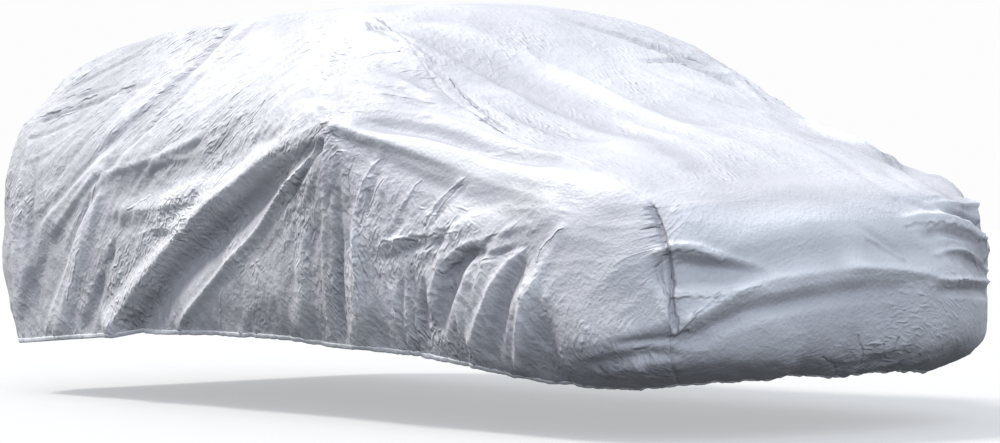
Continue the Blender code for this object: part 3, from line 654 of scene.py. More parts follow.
pull = {
    "right": pull_of(grids["right"], SIDE_PULLS, -1),
    "left": pull_of(grids["left"], SIDE_PULLS, 1),
    "centre": pull_of(grids["centre"], CENTRE_PULLS, 1),
}
print("most crumpled place of the right side:", round(pull["right"][1].max(), 2))

# %% [markdown]
# A short crease is a narrow ridge with one steep flank and one gentle one, bent a little,
# that dies out at both ends. They are strewn over the flat sheet with a fixed seed, turned
# along the pull where they fall, and two in three stand up. Near a seam they fade, so that
# both panels still meet there.

# %% Strew the short creases
Strewn = namedtuple("Strewn", "count length width height seed")
STREWN = {
    "right": (Strewn(200, 0.36, 0.030, 0.0070, 11), Strewn(620, 0.17, 0.017, 0.0042, 12)),
    "left": (Strewn(200, 0.36, 0.030, 0.0070, 21), Strewn(620, 0.17, 0.017, 0.0042, 22)),
    "centre": (Strewn(220, 0.38, 0.032, 0.0050, 31), Strewn(520, 0.18, 0.019, 0.0030, 32)),
}
HEIGHT_SHARES = (0.5, 1.3)
LENGTH_SHARES = (0.5, 1.4)
WIDTH_SHARES = (0.7, 1.3)
UP_UP_DOWN = (1, 1, -0.8)
STRAY = 0.28  # how far a crease strays from the pull, in radians
BEND = 0.6  # how far it bends sideways, a metre along
FLANKS = (1.9, 0.9)  # widths of the gentle and of the steep flank
END_WIDTH = 0.35  # its width at both ends
CREST = 1.6  # power of its flanks: more is sharper
SEAM_FADE = 0.05
flat = {side: (running(grids[side], 0)[0], running(grids[side], 1)[0]) for side in SEWN_TO}
flat["centre"] = (running(grids["centre"], 0)[0], grids["centre"][..., 1])


def strewn_creases(name):
    """The lift of short creases along the pull, none of it on a seam."""
    along, up = flat[name]
    angles, crumple = pull[name]
    lift = np.zeros(along.shape)
    for kind in STREWN[name]:
        draw = random.Random(kind.seed)
        for _ in range(kind.count):
            i = draw.randrange(along.shape[0])
            j = draw.randrange(along.shape[1])
            strength = crumple[i, j] * draw.uniform(*HEIGHT_SHARES)
            turn = angles[i, j] + draw.gauss(0, STRAY)
            length = kind.length * draw.uniform(*LENGTH_SHARES)
            width = kind.width * draw.uniform(*WIDTH_SHARES)
            height = kind.height * strength * draw.choice(UP_UP_DOWN)
            bend = draw.uniform(-BEND, BEND)
            lean = draw.choice((-1, 1))
            reach = length / 2 + width
            near_it = (np.abs(along - along[i, j]) < reach) & (np.abs(up - up[i, j]) < reach)
            x = along[near_it] - along[i, j]
            y = up[near_it] - up[i, j]
            u = x * math.cos(turn) + y * math.sin(turn)
            v = (y * math.cos(turn) - x * math.sin(turn) - bend * u * u) * lean
            ends = np.clip(1 - (2 * u / length) ** 2, 0, 1)
            wide = width * (END_WIDTH + (1 - END_WIDTH) * ends)
            flank = np.where(v > 0, v / (FLANKS[0] * wide), -v / (FLANKS[1] * wide))
            lift[near_it] += height * ends * np.clip(1 - flank, 0, 1) ** CREST
    return lift * ramp(np.min(seams_away[name], axis=0), 0, SEAM_FADE)


for name in grids:
    short = strewn_creases(name)
    relief[name] += short
    print(name, "short creases lift up to", round(np.abs(short).max() * 1000, 1), "mm")

# %% [markdown]
# Cloth swells in and out where it hangs loose, and the elastic in the hem gathers it into
# little upright ripples, deepest at the middle of the front. Noise in space gives both,
# because two panels that meet read the same noise there and so still meet. Each kind of
# ripple reads the noise at its own place, or all of them would rise and fall together.

# %% Swell and gathers
SWELL = 0.010
SWELL_SIZE = 0.45
SMALL_SWELL = 0.45  # size of the smaller swell, next to the wide one
SMALL_SWELL_PLACE = (7, 3, 5)
RUMPLE = 0.0045  # height of the rumples, a hand's width across
RUMPLE_SIZE = 0.16
SHARP = 3.2  # how steeply ridged noise falls from its crests
GATHER = 0.0070
GATHER_SIZE = 0.055
GATHER_PLACES = ((3, 8, 1), (1, 4, 6))
FINE_GATHER = 2.1  # how many fine gathers lie in a wide one
GATHER_RISE = 0.10  # how far up from the hem the gathers fade out
UPRIGHT = (1, 1, 0.12)  # a ripple is drawn out upwards, because height counts little
DEEP_GATHERS = ((2.06, 0.12), (0.05, 0.35))  # middle and reach of the deep ones, along X and Y


def noise_field(grid, size, place=(0, 0, 0)):
    """Smooth noise of about -1 to 1 at each point of a grid."""
    spots = (grid / size + np.array(place)).reshape(-1, 3)
    return np.array([noise.noise(Vector(spot)) for spot in spots]).reshape(grid.shape[:-1])


def ridge_field(grid, size, place=(0, 0, 0)):
    """Noise folded over at zero, which gives sharp crests."""
    return 1 - SHARP * np.abs(noise_field(grid, size, place))


def loose_cloth(grid):
    """The swell of cloth that hangs a little loose, and its smaller rumples."""
    wide = noise_field(grid, SWELL_SIZE)
    small = noise_field(grid, SWELL_SIZE * SMALL_SWELL, SMALL_SWELL_PLACE)
    return SWELL * (wide + small / 2) + RUMPLE * ridge_field(grid, RUMPLE_SIZE) / 2


def gathers(grid, above_hem):
    """Upright ripples along the hem, deepest at the middle of the front."""
    (front, front_reach), (middle, middle_reach) = DEEP_GATHERS
    deep = np.exp(-(((grid[..., 0] - front) / front_reach) ** 2)
                  - ((grid[..., 1] - middle) / middle_reach) ** 2)
    around = grid * UPRIGHT
    ripple = (ridge_field(around, GATHER_SIZE, GATHER_PLACES[0])
              + ridge_field(around, GATHER_SIZE / FINE_GATHER, GATHER_PLACES[1]) / 2)
    return GATHER / 2 * (1 + 2 * deep) * ripple * np.exp(-above_hem / GATHER_RISE)


hem_away = {side: running(grids[side], 1)[0] for side in SEWN_TO}
hem_away["centre"] = np.minimum(*running(grids["centre"], 0))
for name, grid in grids.items():
    loose = loose_cloth(grid)
    gathered = gathers(grid, hem_away[name])
    relief[name] += loose + gathered
    print(name, "swells", round(np.ptp(loose), 3), "m and gathers", round(np.ptp(gathered), 3), "m")

# %% [markdown]
# A seam draws the cloth in and puckers it to both sides. The puckers are noise along the
# seam's own length, so they too are the same on both panels.

# %% Seams
SEAM_GROOVE = 0.0035
SEAM_WIDTH = 0.007
PUCKER = 0.0030
PUCKER_SIZE = 0.045
PUCKER_PLACE = 5.5
PUCKER_REACH = 0.045


def seam_pull(place, distance):
    """The groove of a seam, and the puckers beside it."""
    line = np.stack([place, np.zeros_like(place), np.full_like(place, PUCKER_PLACE)], axis=-1)
    puckers = noise_field(line, PUCKER_SIZE)
    groove = SEAM_GROOVE * np.exp(-((distance / SEAM_WIDTH) ** 2))
    return PUCKER * puckers * np.exp(-distance / PUCKER_REACH) - groove


def side_seam_pull(grid, distances):
    """The seam's pull on a side panel, from whichever of its seams is nearest."""
    places = [
        np.broadcast_to(place, grid.shape[:2])
        for place in beside_seams(lengths_along(border(grid)), grid)
    ]
    closest = np.argmin(np.array(distances), axis=0)
    return seam_pull(np.choose(closest, places), np.min(distances, axis=0))


def centre_seam_pull(grid, distances):
    """The pull of both seams on the centre panel."""
    lift = 0
    for line, distance in zip(SEWN_TO.values(), distances):
        place = lengths_along(grid[:, line])[:, None]
        lift = lift + seam_pull(np.broadcast_to(place, distance.shape), distance)
    return lift


for name, grid in grids.items():
    seam_lift = (centre_seam_pull if name == "centre" else side_seam_pull)(grid, seams_away[name])
    relief[name] += seam_lift
    print(name, "seams draw in up to", round(-seam_lift.min() * 1000, 1), "mm")

# %% [markdown]
# Along the front the elastic also draws the hem in under the cloth, level with the ground.
# Every point then moves along its normal by all that adds up, and inwards by that draw. The
# centre panel's outer lines take the side panels' own points, and the tables' heights become
# the frame's.

# %% Move the points
TURN_UNDER = 0.080  # how far the elastic draws the front hem in
TURN_UNDER_RISE = (0.030, 0.060)  # how far up that reaches: at the middle, at the corners
TURN_UNDER_ALONG = (1.0, 1.7)  # where along the cover it starts, and where it is full
TURN_UNDER_CORNER = (0.28, 0.50)  # where across the front the middle ends and a corner starts


def drawn_in(grid, above_hem):
    """How far the elastic draws the cloth in, level, along the front hem."""
    corner = ramp(np.abs(grid[..., 1]), *TURN_UNDER_CORNER)
    rise = TURN_UNDER_RISE[0] + (TURN_UNDER_RISE[1] - TURN_UNDER_RISE[0]) * corner
    return TURN_UNDER * ramp(grid[..., 0], *TURN_UNDER_ALONG) * np.exp(-above_hem / rise)


inward = {name: drawn_in(grid, hem_away[name]) for name, grid in grids.items()}
cloth = {
    name: grid + normals[name] * relief[name][..., None]
    - unit(normals[name] * (1, 1, 0)) * inward[name][..., None] - ORIGIN
    for name, grid in grids.items()
}
for side, line in SEWN_TO.items():
    cloth["centre"][:, line] = border(cloth[side])
for name, points in cloth.items():
    low, high = points.min((0, 1)), points.max((0, 1))
    print(name, "reaches from", np.round(low, 3), "to", np.round(high, 3))

# %% [markdown]
# Some creases are thinner than the grid. Each one is a straight pinch from one place to another, with how far
# it reaches to both sides and how high it stands. Both ends were read off a picture of the cover. The places
# in this table are what a separate script worked out from them, along the camera's rays, and rounded to a
# centimetre. The finish of the cloth draws each pinch as a crisp line, so they are kept as places on the flat
# sheet. A pinch belongs to a panel when both of its ends lie near to it.

# %% Pinched lines
Pinch = namedtuple("Pinch", "start end reach height")
PINCHES = [Pinch(*row) for row in (  # start and end (cm), reach and height (mm)
    ((82, -94, 87), (73, -95, 72), 8, 3), ((79, -95, 77), (74, -94, 66), 8, -3),
    ((85, -94, 81), (78, -94, 70), 7, 3), ((116, -85, 80), (105, -89, 69), 10, 4),
    ((117, -86, 79), (108, -89, 68), 8, -3), ((99, -90, 80), (93, -92, 71), 8, 3),
    ((72, -97, 87), (70, -96, 75), 7, -3), ((83, -92, 61), (99, -90, 62), 10, 4),
    ((100, -90, 62), (121, -88, 64), 8, 3), ((33, -96, 84), (58, -99, 97), 8, -4),
    ((28, -93, 71), (43, -97, 83), 8, -4), ((29, -94, 76), (47, -98, 88), 7, 3),
    ((-25, -86, 44), (-36, -81, 28), 8, 3), ((122, -88, 59), (110, -89, 52), 10, 5),
    ((119, -88, 58), (129, -87, 58), 12, -5), ((129, -87, 58), (137, -86, 63), 10, -4),
    ((131, -88, 55), (144, -87, 57), 10, -4), ((164, -82, 65), (156, -85, 59), 8, 5),
    ((156, -85, 59), (155, -86, 55), 8, 5), ((149, -87, 53), (150, -87, 44), 8, 4),
    ((106, -88, 45), (99, -85, 32), 8, 3), ((-190, -74, 103), (-159, -76, 109), 10, -4),
    ((-159, -76, 109), (-137, -72, 114), 10, -4), ((-161, -79, 104), (-141, -76, 109), 8, -4),
    ((-141, -76, 109), (-110, -72, 117), 10, -4), ((-161, -72, 114), (-146, -70, 117), 8, -4),
    ((-9, -88, 94), (-1, -83, 107), 8, -4), ((-22, -88, 91), (-6, -86, 100), 8, -4),
    ((-31, -87, 92), (-21, -86, 99), 8, 3), ((-13, -89, 86), (-6, -88, 95), 7, 3),
    ((-109, -87, 83), (-117, -87, 72), 10, 4), ((-87, -88, 71), (-72, -88, 76), 8, 3),
    ((-123, -87, 57), (-138, -84, 37), 8, 3), ((81, -64, 113), (99, -66, 103), 8, -5),
    ((99, -66, 103), (116, -66, 95), 8, -5), ((106, -68, 99), (115, -67, 95), 8, -4),
    ((28, -61, 133), (53, -64, 126), 10, -4), ((53, -64, 126), (70, -62, 119), 10, -3),
    ((42, -75, 120), (56, -67, 123), 8, -4), ((56, -67, 123), (74, -62, 117), 8, -4),
    ((71, -84, 108), (87, -75, 105), 7, -3), ((83, 18, 119), (79, 37, 119), 10, -5),
    ((70, 25, 125), (74, 48, 120), 10, -4), ((70, 65, 118), (100, 58, 105), 10, -4),
    ((188, -67, 71), (190, -67, 65), 10, -5), ((190, -67, 65), (193, -66, 59), 10, -5),
    ((194, -66, 57), (195, -65, 44), 10, -5), ((195, -65, 44), (196, -64, 34), 8, -4),
    ((193, -66, 58), (198, -59, 59), 10, 5), ((198, -59, 59), (202, -52, 55), 10, 4),
    ((195, -64, 45), (202, -53, 44), 8, 4), ((196, -63, 34), (199, -59, 40), 10, 5),
    ((199, -59, 40), (202, -53, 45), 10, 5), ((202, -53, 45), (207, -42, 48), 10, 3),
    ((193, -67, 32), (197, -61, 34), 10, -5), ((187, -72, 28), (194, -66, 32), 10, -4),
    ((209, 15, 63), (206, 35, 64), 12, -3), ((205, 37, 64), (199, 56, 60), 10, 4),
    ((199, 56, 60), (196, 64, 56), 10, 5), ((203, 50, 56), (193, 67, 47), 10, 4),
    ((208, 38, 47), (194, 66, 46), 8, 4), ((211, -2, 60), (212, 12, 53), 14, -3),
    ((203, 3, 20), (211, -6, 31), 8, -3), ((202, 8, 18), (210, 6, 28), 8, -3),
    ((202, -2, 18), (207, -16, 25), 8, -3), ((202, 10, 19), (210, 11, 30), 8, -3),
)]
PINCH_NEAR = 0.04
PINCH_SHORTEST = 0.01


def flat_pinches(name, side):
    """The pinches of a panel, as places on its flat sheet, all in metres."""
    points = grids[name].reshape(-1, 3)
    places = np.stack(flat[name], axis=-1).reshape(-1, 2)
    found = []
    for pinch in PINCHES:
        ends = np.array((pinch.start, pinch.end)) / 100 * (1, side, 1)
        apart = np.linalg.norm(points[None] - ends[:, None], axis=-1)
        if apart.min(axis=1).max() >= PINCH_NEAR:
            continue
        start, end = places[apart.argmin(axis=1)]
        if np.linalg.norm(end - start) > PINCH_SHORTEST:
            found.append(Pinch(start, end, pinch.reach / 1000, pinch.height / 1000))
    return found


pinches = {name: flat_pinches(name, -1 if name == "left" else 1) for name in grids}
print({name: len(rows) for name, rows in pinches.items()}, "pinches")

# %% [markdown]
# The finish is built from many small nodes. One helper makes a node, gives it its settings
# and feeds its sockets, so that each step of a recipe is one call. Two more helpers do what
# comes again and again: to make one number of two, and to move a place about by noise, so
# that nothing drawn at that place looks ruled.

# %% Helpers that make the nodes
def add_node(tree, kind, feeds, **settings):
    """A node with its settings. Each socket is fed a value, or another node's output."""
    node = tree.nodes.new("ShaderNode" + kind)
    for name, setting in settings.items():
        setattr(node, name, setting)
    for name, feed in feeds.items():
        if isinstance(feed, bpy.types.NodeSocket):
            tree.links.new(feed, node.inputs[name])
        else:
            node.inputs[name].default_value = feed
    return node.outputs


def combine(tree, operation, first, second):
    """Two numbers made into one."""
    return add_node(tree, "Math", {0: first, 1: second}, operation=operation)[0]


def shaken(tree, place, scale, detail, far):
    """A place moved about by noise, and that noise."""
    shake = add_node(tree, "TexNoise", {"Vector": place, "Scale": scale, "Detail": detail},
                     noise_dimensions="2D")
    moved = add_node(tree, "VectorMath", {0: shake["Color"], 1: (far, far, 0), 2: place},
                     operation="MULTIPLY_ADD")
    return moved[0], shake[0]


print("helpers:", [helper.__name__ for helper in (add_node, combine, shaken)])

# %% [markdown]
# The cloth itself is a nonwoven sheet with a silver-grey coating. What makes it look like
# cloth is its crinkle, which is finer than the grid: crests a few millimetres wide, drawn
# out along the pull. Four layers of ridged noise, each drawn out one way, are mixed by how
# near the pull lies to that way. Where the cloth is crumpled, small facets are added, on
# cells with wavy walls.

# %% The crinkle
CRINKLE_WAYS = (0, 45, 90, 135)  # degrees
CRINKLE_LONG = 0.042
CRINKLE_SHORT = 0.018
LAYER_SHIFT = (0.37, 0.21)  # how far a layer's noise is moved for each degree of its turn
WAVY = 0.09  # how far the cells' walls wander
FACET_SHARE = 0.4


def crinkle_layer(tree, place, degrees):
    """Ridged noise drawn out along one way of the cloth."""
    turned = add_node(tree, "Mapping", {
        "Vector": place,
        "Location": (LAYER_SHIFT[0] * degrees, LAYER_SHIFT[1] * degrees, 0),
        "Rotation": (0, 0, math.radians(degrees)),
        "Scale": (CRINKLE_LONG, CRINKLE_SHORT, 1),
    }, vector_type="TEXTURE")
    return add_node(tree, "TexNoise", {
        "Vector": turned[0], "Scale": 1.0, "Detail": 4.0,
        "Roughness": 0.55, "Lacunarity": 2.1, "Distortion": 0.3,
    }, noise_type="RIDGED_MULTIFRACTAL", noise_dimensions="2D")[0]


def crinkle(tree, place):
    """All four layers, mixed by the pull, and the facets of crumpled cloth."""
    ways = add_node(tree, "Attribute", {}, attribute_name="pull")
    parts = add_node(tree, "SeparateColor", {0: ways["Color"]})
    total = None
    for degrees, part in zip(CRINKLE_WAYS, (*parts, ways["Alpha"])):
        layer = combine(tree, "MULTIPLY", crinkle_layer(tree, place, degrees), part)
        total = layer if total is None else combine(tree, "ADD", total, layer)
    wavy, _ = shaken(tree, place, scale=9, detail=2, far=WAVY)
    cells = add_node(tree, "TexVoronoi", {"Vector": wavy, "Scale": 24}, voronoi_dimensions="2D")
    crumpled = add_node(tree, "Attribute", {}, attribute_name="crumple")
    facets = combine(tree, "MULTIPLY", cells["Distance"], crumpled["Fac"])
    return combine(tree, "ADD", total, combine(tree, "MULTIPLY", facets, FACET_SHARE))


print("the crinkle has", len(CRINKLE_WAYS), "layers, turned by", CRINKLE_WAYS, "degrees")

# %% [markdown]
# A pinch is drawn by its distance from a straight line: the place along the line is held
# between its two ends, and the height falls off smoothly to the side. The place is shaken a
# little first, so that no pinch looks ruled.

# %% Draw the pinched lines
SHAKE = 0.016
WEAKEST = 0.5  # what is left of a pinch's height where the noise is 0


def pinched_lines(tree, place, rows):
    """The height of every pinch added up, in metres."""
    total = None
    for start, end, reach, height in rows:
        along = end - start
        from_start = add_node(tree, "VectorMath", {0: place, 1: (*start, 0)},
                              operation="SUBTRACT")["Vector"]
        share = add_node(tree, "VectorMath", {0: from_start, 1: (*(along / (along @ along)), 0)},
                         operation="DOT_PRODUCT")["Value"]
        held = add_node(tree, "Clamp", {"Value": share})[0]
        on_line = add_node(tree, "VectorMath", {0: (*along, 0), "Scale": held},
                           operation="SCALE")["Vector"]
        apart = add_node(tree, "VectorMath", {0: from_start, 1: on_line},
                         operation="DISTANCE")["Value"]
        crease = add_node(tree, "MapRange", {
            "Value": apart, "From Max": reach, "To Min": height, "To Max": 0.0,
        }, interpolation_type="SMOOTHSTEP")[0]
        total = crease if total is None else combine(tree, "ADD", total, crease)
    return total


def shaken_pinches(tree, place, rows):
    """The pinched lines, none of them ruled, and stronger in some places than in others."""
    moved, shake = shaken(tree, place, scale=26, detail=1, far=SHAKE)
    middled = add_node(tree, "VectorMath", {0: moved, 1: (SHAKE / 2, SHAKE / 2, 0)},
                       operation="SUBTRACT")["Vector"]
    return combine(tree, "MULTIPLY", pinched_lines(tree, middled, rows),
                   combine(tree, "ADD", shake, WEAKEST))


print("a pinch is shaken by up to", SHAKE / 2 * 1000, "mm")

# %% [markdown]
# The coating scatters light like paper, with a faint satin shine. Its colour carries painted shade and
# painted highlight: it is painted darker where a point lies deep in the folds, the crinkle and the pinched
# lines, and lighter on their crests. Each panel has a finish of its own, because each has its own pinches.

# %% The coated cloth
CRINKLE_HEIGHT = 0.009
FIBRE_SHARE = 0.26
# Painted shade and highlight on the crinkle: its troughs darken the colour and its crests lighten it.
CRINKLE_PAINTED_SHADE = 0.22
CRINKLE_MIDDLE = 0.6  # the height of the crinkle that leaves the tone as it is
# Painted shade in the pinched creases and painted highlight on the pinched ridges: a pinch below zero darkens
# the colour, one above zero lightens it.
PINCH_PAINTED_SHADE = 60  # how much a metre of pinch lightens the cloth
# Painted shade in the hollows and painted highlight on the crests: the two ends of the colour ramp.
HOLLOW_PAINTED_SHADE = (0.25, (0.445, 0.448, 0.485, 1))
CREST_PAINTED_HIGHLIGHT = (0.75, (0.70, 0.705, 0.745, 1))


def coated_cloth(title, rows):
    """Silver-grey coated cloth with its crinkle and its pinched lines, and painted shade and highlight in its
    colour.
    """
    material = bpy.data.materials.new(title)
    material.use_nodes = True
    tree = material.node_tree
    shader = tree.nodes["Principled BSDF"]
    shader.inputs["Roughness"].default_value = 0.5
    shader.inputs["Metallic"].default_value = 0.0
    shader.inputs["IOR"].default_value = 1.45

    flat_place = add_node(tree, "UVMap", {}, uv_map="flat")[0]
    ripples = crinkle(tree, flat_place)
    pinch = shaken_pinches(tree, flat_place, rows)
    place = add_node(tree, "TexCoord", {})["Object"]
    fibres = add_node(tree, "TexNoise", {"Vector": place, "Scale": 90, "Detail": 2})[0]
    height = combine(tree, "ADD", ripples, combine(tree, "MULTIPLY", fibres, FIBRE_SHARE))
    height = combine(tree, "ADD", height, combine(tree, "MULTIPLY", pinch, 1 / CRINKLE_HEIGHT))
    bump = add_node(tree, "Bump", {"Height": height, "Strength": 1.0, "Distance": CRINKLE_HEIGHT})
    tree.links.new(bump[0], shader.inputs["Normal"])

    # Painted shade: the base colour is darker where a point lies deep in the folds and lighter on their
    # crests.
    depth = add_node(tree, "Attribute", {}, attribute_name="depth")["Fac"]
    # Painted shade in the crinkle's troughs and in the pinched creases, and painted highlight on their
    # crests.
    above = combine(tree, "SUBTRACT", ripples, CRINKLE_MIDDLE)
    lines = combine(tree, "ADD", combine(tree, "MULTIPLY", above, CRINKLE_PAINTED_SHADE),
                    combine(tree, "MULTIPLY", pinch, PINCH_PAINTED_SHADE))
    painted_shade_ramp = tree.nodes.new("ShaderNodeValToRGB")
    for stop, (position, colour) in zip(painted_shade_ramp.color_ramp.elements, (HOLLOW_PAINTED_SHADE, CREST_PAINTED_HIGHLIGHT)):
        stop.position = position
        stop.color = colour
    tree.links.new(combine(tree, "ADD", depth, lines), painted_shade_ramp.inputs[0])
    tree.links.new(painted_shade_ramp.outputs[0], shader.inputs["Base Color"])
    return material


cloth_finish = {
    name: coated_cloth(f"silver_grey_cloth_{name}", pinches[name]) for name in grids
}
for material in cloth_finish.values():
    print(material.name, "has", len(material.node_tree.nodes), "nodes")

# %% [markdown]
# The material is told, at every point, how strong each layer of the crinkle is. That is a
# colour, one channel for each way: bright where the pull lies along that way and the cloth
# is crumpled. It comes and goes in patches, because cloth is never crumpled evenly.

# %% How strong the crinkle is
MOST_CRUMPLED = 1.5
PATCH_SIZE = 0.24
PATCH_PLACE = (2, 2, 9)
PATCHES = (0.55, 2.0)  # mean strength of the crinkle, and how much it changes
PLAINEST = 0.08
WAY_POWER = 1.5  # how fast a layer fades as the pull turns away from it


def way_weights(name):
    """How near the pull lies to each way of the crinkle, times how crumpled the cloth is."""
    angles, crumple = pull[name]
    parts = np.array([
        np.clip(np.cos(2 * (angles - math.radians(way))), 0, 1) ** WAY_POWER for way in CRINKLE_WAYS
    ])
    patchy = PATCHES[0] + PATCHES[1] * noise_field(grids[name], PATCH_SIZE, PATCH_PLACE)
    strength = crumple * np.clip(patchy, PLAINEST, MOST_CRUMPLED)
    return np.moveaxis(parts / np.sum(parts, axis=0) * strength, 0, -1)


layer_strengths = {name: way_weights(name) for name in grids}
for name, strengths in layer_strengths.items():
    print(name, "mean strength of each layer:", np.round(strengths.mean((0, 1)), 2))

# %% [markdown]
# Each panel starts as a flat grid. Its vertices are moved to the computed points, and it keeps four things
# for the material: its flat place in metres, the strength of the crinkle's layers, how deep each point lies
# in the folds, which sets the painted shade and painted highlight of its colour, and how crumpled it is.
# Solidify then gives the sheet its thickness, inwards, so that the outside stays exactly where it was laid.

# %% Sew the three panels
CLOTH = 0.0015
FULL_PAINTED_SHADE_RANGE = 0.05  # a fold this high, from trough to crest, has the whole range of tones


def panel_sheet(title, name):
    """One panel as a thin sheet, facing outwards."""
    points = cloth[name]
    places = np.stack(flat[name], axis=-1)
    ways = layer_strengths[name]
    single = {
        # Painted shade: how deep a point lies in the folds, with the front hem that the elastic draws in
        # counted deeper still, so its colour is painted darker there.
        "depth": np.clip(0.5 + (relief[name] - inward[name]) / FULL_PAINTED_SHADE_RANGE, 0, 1),
        "crumple": np.clip(pull[name][1], 0, MOST_CRUMPLED),
    }
    columns, rows = points.shape[0] - 1, points.shape[1] - 1
    sheet = bmesh.new()
    bmesh.ops.create_grid(sheet, x_segments=columns, y_segments=rows, size=1)
    mesh = bpy.data.meshes.new(title)
    sheet.to_mesh(mesh)
    sheet.free()
    spots = np.empty(len(mesh.vertices) * 3, np.float32)
    mesh.vertices.foreach_get("co", spots)
    spots = (spots.reshape(-1, 3) + 1) / 2
    column = np.round(spots[:, 0] * columns).astype(int)
    if name == "left":
        column = columns - column  # a mirrored panel is laid the other way round
    row = np.round(spots[:, 1] * rows).astype(int)
    mesh.vertices.foreach_set("co", points[column, row].astype(np.float32).ravel())
    corner = np.empty(len(mesh.loops), np.int32)
    mesh.loops.foreach_get("vertex_index", corner)
    uv = mesh.uv_layers.new(name="flat")
    uv.data.foreach_set("uv", places[column[corner], row[corner]].astype(np.float32).ravel())
    layer = mesh.attributes.new("pull", "FLOAT_COLOR", "POINT")
    layer.data.foreach_set("color", ways[column, row].astype(np.float32).ravel())
    for label, values in single.items():
        layer = mesh.attributes.new(label, "FLOAT", "POINT")
        layer.data.foreach_set("value", values[column, row].astype(np.float32))
    mesh.update()
    mesh.shade_smooth()
    mesh.materials.append(cloth_finish[name])
    piece = bpy.data.objects.new(title, mesh)
    bpy.context.scene.collection.objects.link(piece)
    wall = piece.modifiers.new("thickness", "SOLIDIFY")
    wall.thickness = CLOTH
    wall.offset = -1
    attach(piece, "root")
    return piece


centre_cloth = panel_sheet("centre_cloth", "centre")
right_cloth = panel_sheet("right_side_cloth", "right")
left_cloth = panel_sheet("left_side_cloth", "left")
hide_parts("centre_panel")
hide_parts("right_side_panel")
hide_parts("left_side_panel")
for piece in (centre_cloth, right_cloth, left_cloth):
    print(piece.name, "has", len(piece.data.polygons), "faces on its outside")

# %% [markdown]
# The hem is turned up once and stitched down over an elastic. The cloth is doubled there, so
# it shows a plainer and slightly lighter finish than the panels.

# %% The finish of the hem
def hem_finish():
    """The same cloth, doubled: plainer and a little lighter."""
    material = bpy.data.materials.new("turned_hem")
    material.use_nodes = True
    tree = material.node_tree
    shader = tree.nodes["Principled BSDF"]
    shader.inputs["Base Color"].default_value = (0.70, 0.71, 0.745, 1)
    shader.inputs["Roughness"].default_value = 0.55
    place = add_node(tree, "TexCoord", {})["Object"]
    ripples = add_node(tree, "TexNoise", {"Vector": place, "Scale": 120})[0]
    bump = add_node(tree, "Bump", {"Height": ripples, "Distance": 0.001})
    tree.links.new(bump[0], shader.inputs["Normal"])
    return material


hem_material = hem_finish()
print(hem_material.name, "has", len(hem_material.node_tree.nodes), "nodes")

# %% [markdown]
# The hem shows as a narrow band, thicker than the cloth, that ripples along the edge. It is
# a flat tube, swept along the edge of each panel: a grid is rolled up into the tube, its two
# long sides are welded, and its open ends are closed.

# %% Roll the turned hem
HEM_RISE = 0.015
HEM_DROP = 0.003
HEM_THICK = 0.0055
HEM_STEP = 0.006
HEM_SIDES = 10
HEM_RIPPLE = 0.0022
HEM_RIPPLE_SIZE = 0.020
HEM_RIPPLE_PLACE = (5, 5, 2)
HEM_SQUARE = (0.8, 0.6)  # powers of the tube's section, up and sideways: less is squarer
HEM_TOP = 6  # the cloth's line that shows which way is up from its edge


def squared(values, power):
    """A circle's sine or cosine, made squarer."""
    return np.sign(values) * np.abs(values) ** power


def hem_band(title, edge, above):
    """A flat tube along an edge. above is the cloth's line a little way up from it."""
    length = lengths_along(edge)
    count = int(length[-1] / HEM_STEP)
    places = np.linspace(0, length[-1], count + 1)
    line = np.stack([np.interp(places, length, edge[:, i]) for i in range(3)], axis=1)
    upper = np.stack([np.interp(places, length, above[:, i]) for i in range(3)], axis=1)
    rise = unit(upper - line)
    out = unit(np.cross(unit(np.gradient(line, axis=0)), rise))
    turn = np.linspace(0, 2 * np.pi, HEM_SIDES + 1)[None, :]
    ripple = HEM_RIPPLE * ridge_field(line, HEM_RIPPLE_SIZE, HEM_RIPPLE_PLACE)
    up = (HEM_RISE - HEM_DROP) / 2 + (HEM_RISE + HEM_DROP) / 2 * squared(np.cos(turn), HEM_SQUARE[0])
    side = HEM_THICK / 2 * squared(np.sin(turn), HEM_SQUARE[1]) + ripple[:, None] / 2 - CLOTH / 2
    points = line[:, None] + rise[:, None] * up[..., None] + out[:, None] * side[..., None]
    band = bmesh.new()
    bmesh.ops.create_grid(band, x_segments=count, y_segments=HEM_SIDES, size=1)
    for vert in band.verts:
        column = round((vert.co.x + 1) / 2 * count)
        row = round((vert.co.y + 1) / 2 * HEM_SIDES)
        vert.co = points[column, row]
    bmesh.ops.remove_doubles(band, verts=band.verts, dist=1e-5)
    bmesh.ops.holes_fill(band, edges=[rim for rim in band.edges if rim.is_boundary], sides=0)
    bmesh.ops.recalc_face_normals(band, faces=band.faces)
    mesh = bpy.data.meshes.new(title)
    band.to_mesh(mesh)
    band.free()
    mesh.shade_smooth()
    mesh.materials.append(hem_material)
    piece = bpy.data.objects.new(title, mesh)
    bpy.context.scene.collection.objects.link(piece)
    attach(piece, "root")
    return piece


right_hem = hem_band("right_side_hem", cloth["right"][:, 0], cloth["right"][:, HEM_TOP])
left_hem = hem_band("left_side_hem", cloth["left"][:, 0], cloth["left"][:, HEM_TOP])
front_hem = hem_band("front_hem", cloth["centre"][-1], cloth["centre"][-1 - HEM_TOP])
rear_hem = hem_band("rear_hem", cloth["centre"][0], cloth["centre"][HEM_TOP])
print("hems:", [len(piece.data.polygons) for piece in (right_hem, left_hem, front_hem, rear_hem)])

# %% [markdown]
# All three panels hang draped and rest on nothing that is part of the cover.

# %% [markdown]
# The cover is shown over a plain pale floor. A floor lit by the lamps would throw light up
# into the folds of the upright sides and flatten them, so it is hidden from the light that
# bounces and from reflections, and glows faintly instead, to stay pale.

# %% The floor
FLOOR_SIZE = 60.0
GROUND = -float(ORIGIN[2])


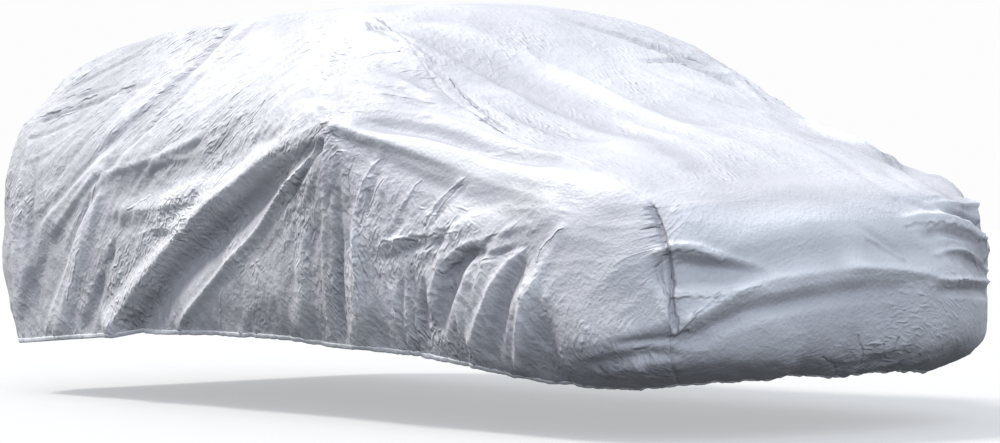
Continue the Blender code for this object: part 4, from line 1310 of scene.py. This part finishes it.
def stage_floor():
    """A wide pale floor at the ground that the hem hangs over."""
    ground = bmesh.new()
    bmesh.ops.create_grid(ground, x_segments=1, y_segments=1, size=FLOOR_SIZE / 2)
    bmesh.ops.translate(ground, verts=ground.verts, vec=(0, 0, GROUND))
    mesh = bpy.data.meshes.new("floor")
    ground.to_mesh(mesh)
    ground.free()
    material = bpy.data.materials.new("pale_floor")
    material.use_nodes = True
    shader = material.node_tree.nodes["Principled BSDF"]
    shader.inputs["Base Color"].default_value = (0.30, 0.30, 0.30, 1)
    shader.inputs["Roughness"].default_value = 0.9
    shader.inputs["Emission Color"].default_value = (0.97, 0.98, 1.0, 1)
    shader.inputs["Emission Strength"].default_value = 0.46
    mesh.materials.append(material)
    floor = bpy.data.objects.new("floor", mesh)
    bpy.context.scene.collection.objects.link(floor)
    floor.visible_diffuse = False
    floor.visible_glossy = False
    return floor


floor = stage_floor()
print("the floor lies", round(-GROUND, 3), "m under the top of the cover")

# %% [markdown]
# A warm, fairly sharp light stands high behind the right side. It washes the top and the
# slopes almost white, and only grazes the upright side, so that every fold there has a lit
# flank and a dark one. A broad cool light from ahead keeps the nose from going dark, and an
# even pale surrounding, dim below the horizon, leaves the undersides in a cool grey.

# %% The light
BELOW_SHARE = 0.14  # how bright the surrounding is below the horizon, next to above it
HORIZON = (-0.35, 0.25)  # how far down and up it takes to change


def soft_light(name, toward, strength, spread, tint):
    """A distant light that shines from toward, with a spread in degrees."""
    lamp = bpy.data.lights.new(name, "SUN")
    lamp.energy = strength
    lamp.angle = math.radians(spread)
    lamp.color = tint
    light = bpy.data.objects.new(name, lamp)
    light.rotation_euler = Vector(toward).to_track_quat("Z", "Y").to_euler()
    bpy.context.scene.collection.objects.link(light)
    return light


def surrounding(tint, strength, seen):
    """An even pale surrounding, seen brighter than it lights, as a lit studio wall is."""
    world = bpy.data.worlds.new("surrounding")
    world.use_nodes = True
    tree = world.node_tree
    toward = add_node(tree, "TexCoord", {})["Generated"]
    parts = add_node(tree, "SeparateXYZ", {0: toward})
    light = tree.nodes["Background"]
    light.inputs["Color"].default_value = (*tint, 1)
    height = add_node(tree, "MapRange", {
        "Value": parts["Z"], "From Min": HORIZON[0], "From Max": HORIZON[1],
        "To Min": strength * BELOW_SHARE, "To Max": strength,
    })
    tree.links.new(height[0], light.inputs["Strength"])
    wall = add_node(tree, "Background", {"Color": (1, 1, 1, 1), "Strength": seen})
    path = add_node(tree, "LightPath", {})
    either = add_node(tree, "MixShader",
                      {0: path["Is Camera Ray"], 1: light.outputs[0], 2: wall[0]})
    tree.links.new(either[0], tree.nodes["World Output"].inputs["Surface"])
    bpy.context.scene.world = world


key = soft_light("key", toward=(-0.41, -0.39, 0.82), strength=3.25, spread=14,
                 tint=(1.0, 0.955, 0.895))
fill = soft_light("front_fill", toward=(0.76, -0.29, 0.58), strength=1.40, spread=55,
                  tint=(0.78, 0.87, 1.0))
surrounding(tint=(0.88, 0.933, 1.0), strength=0.79, seen=0.98)
bpy.context.scene.view_settings.view_transform = "Standard"
print("lights:", {light.name: round(light.data.energy, 2) for light in (key, fill)})
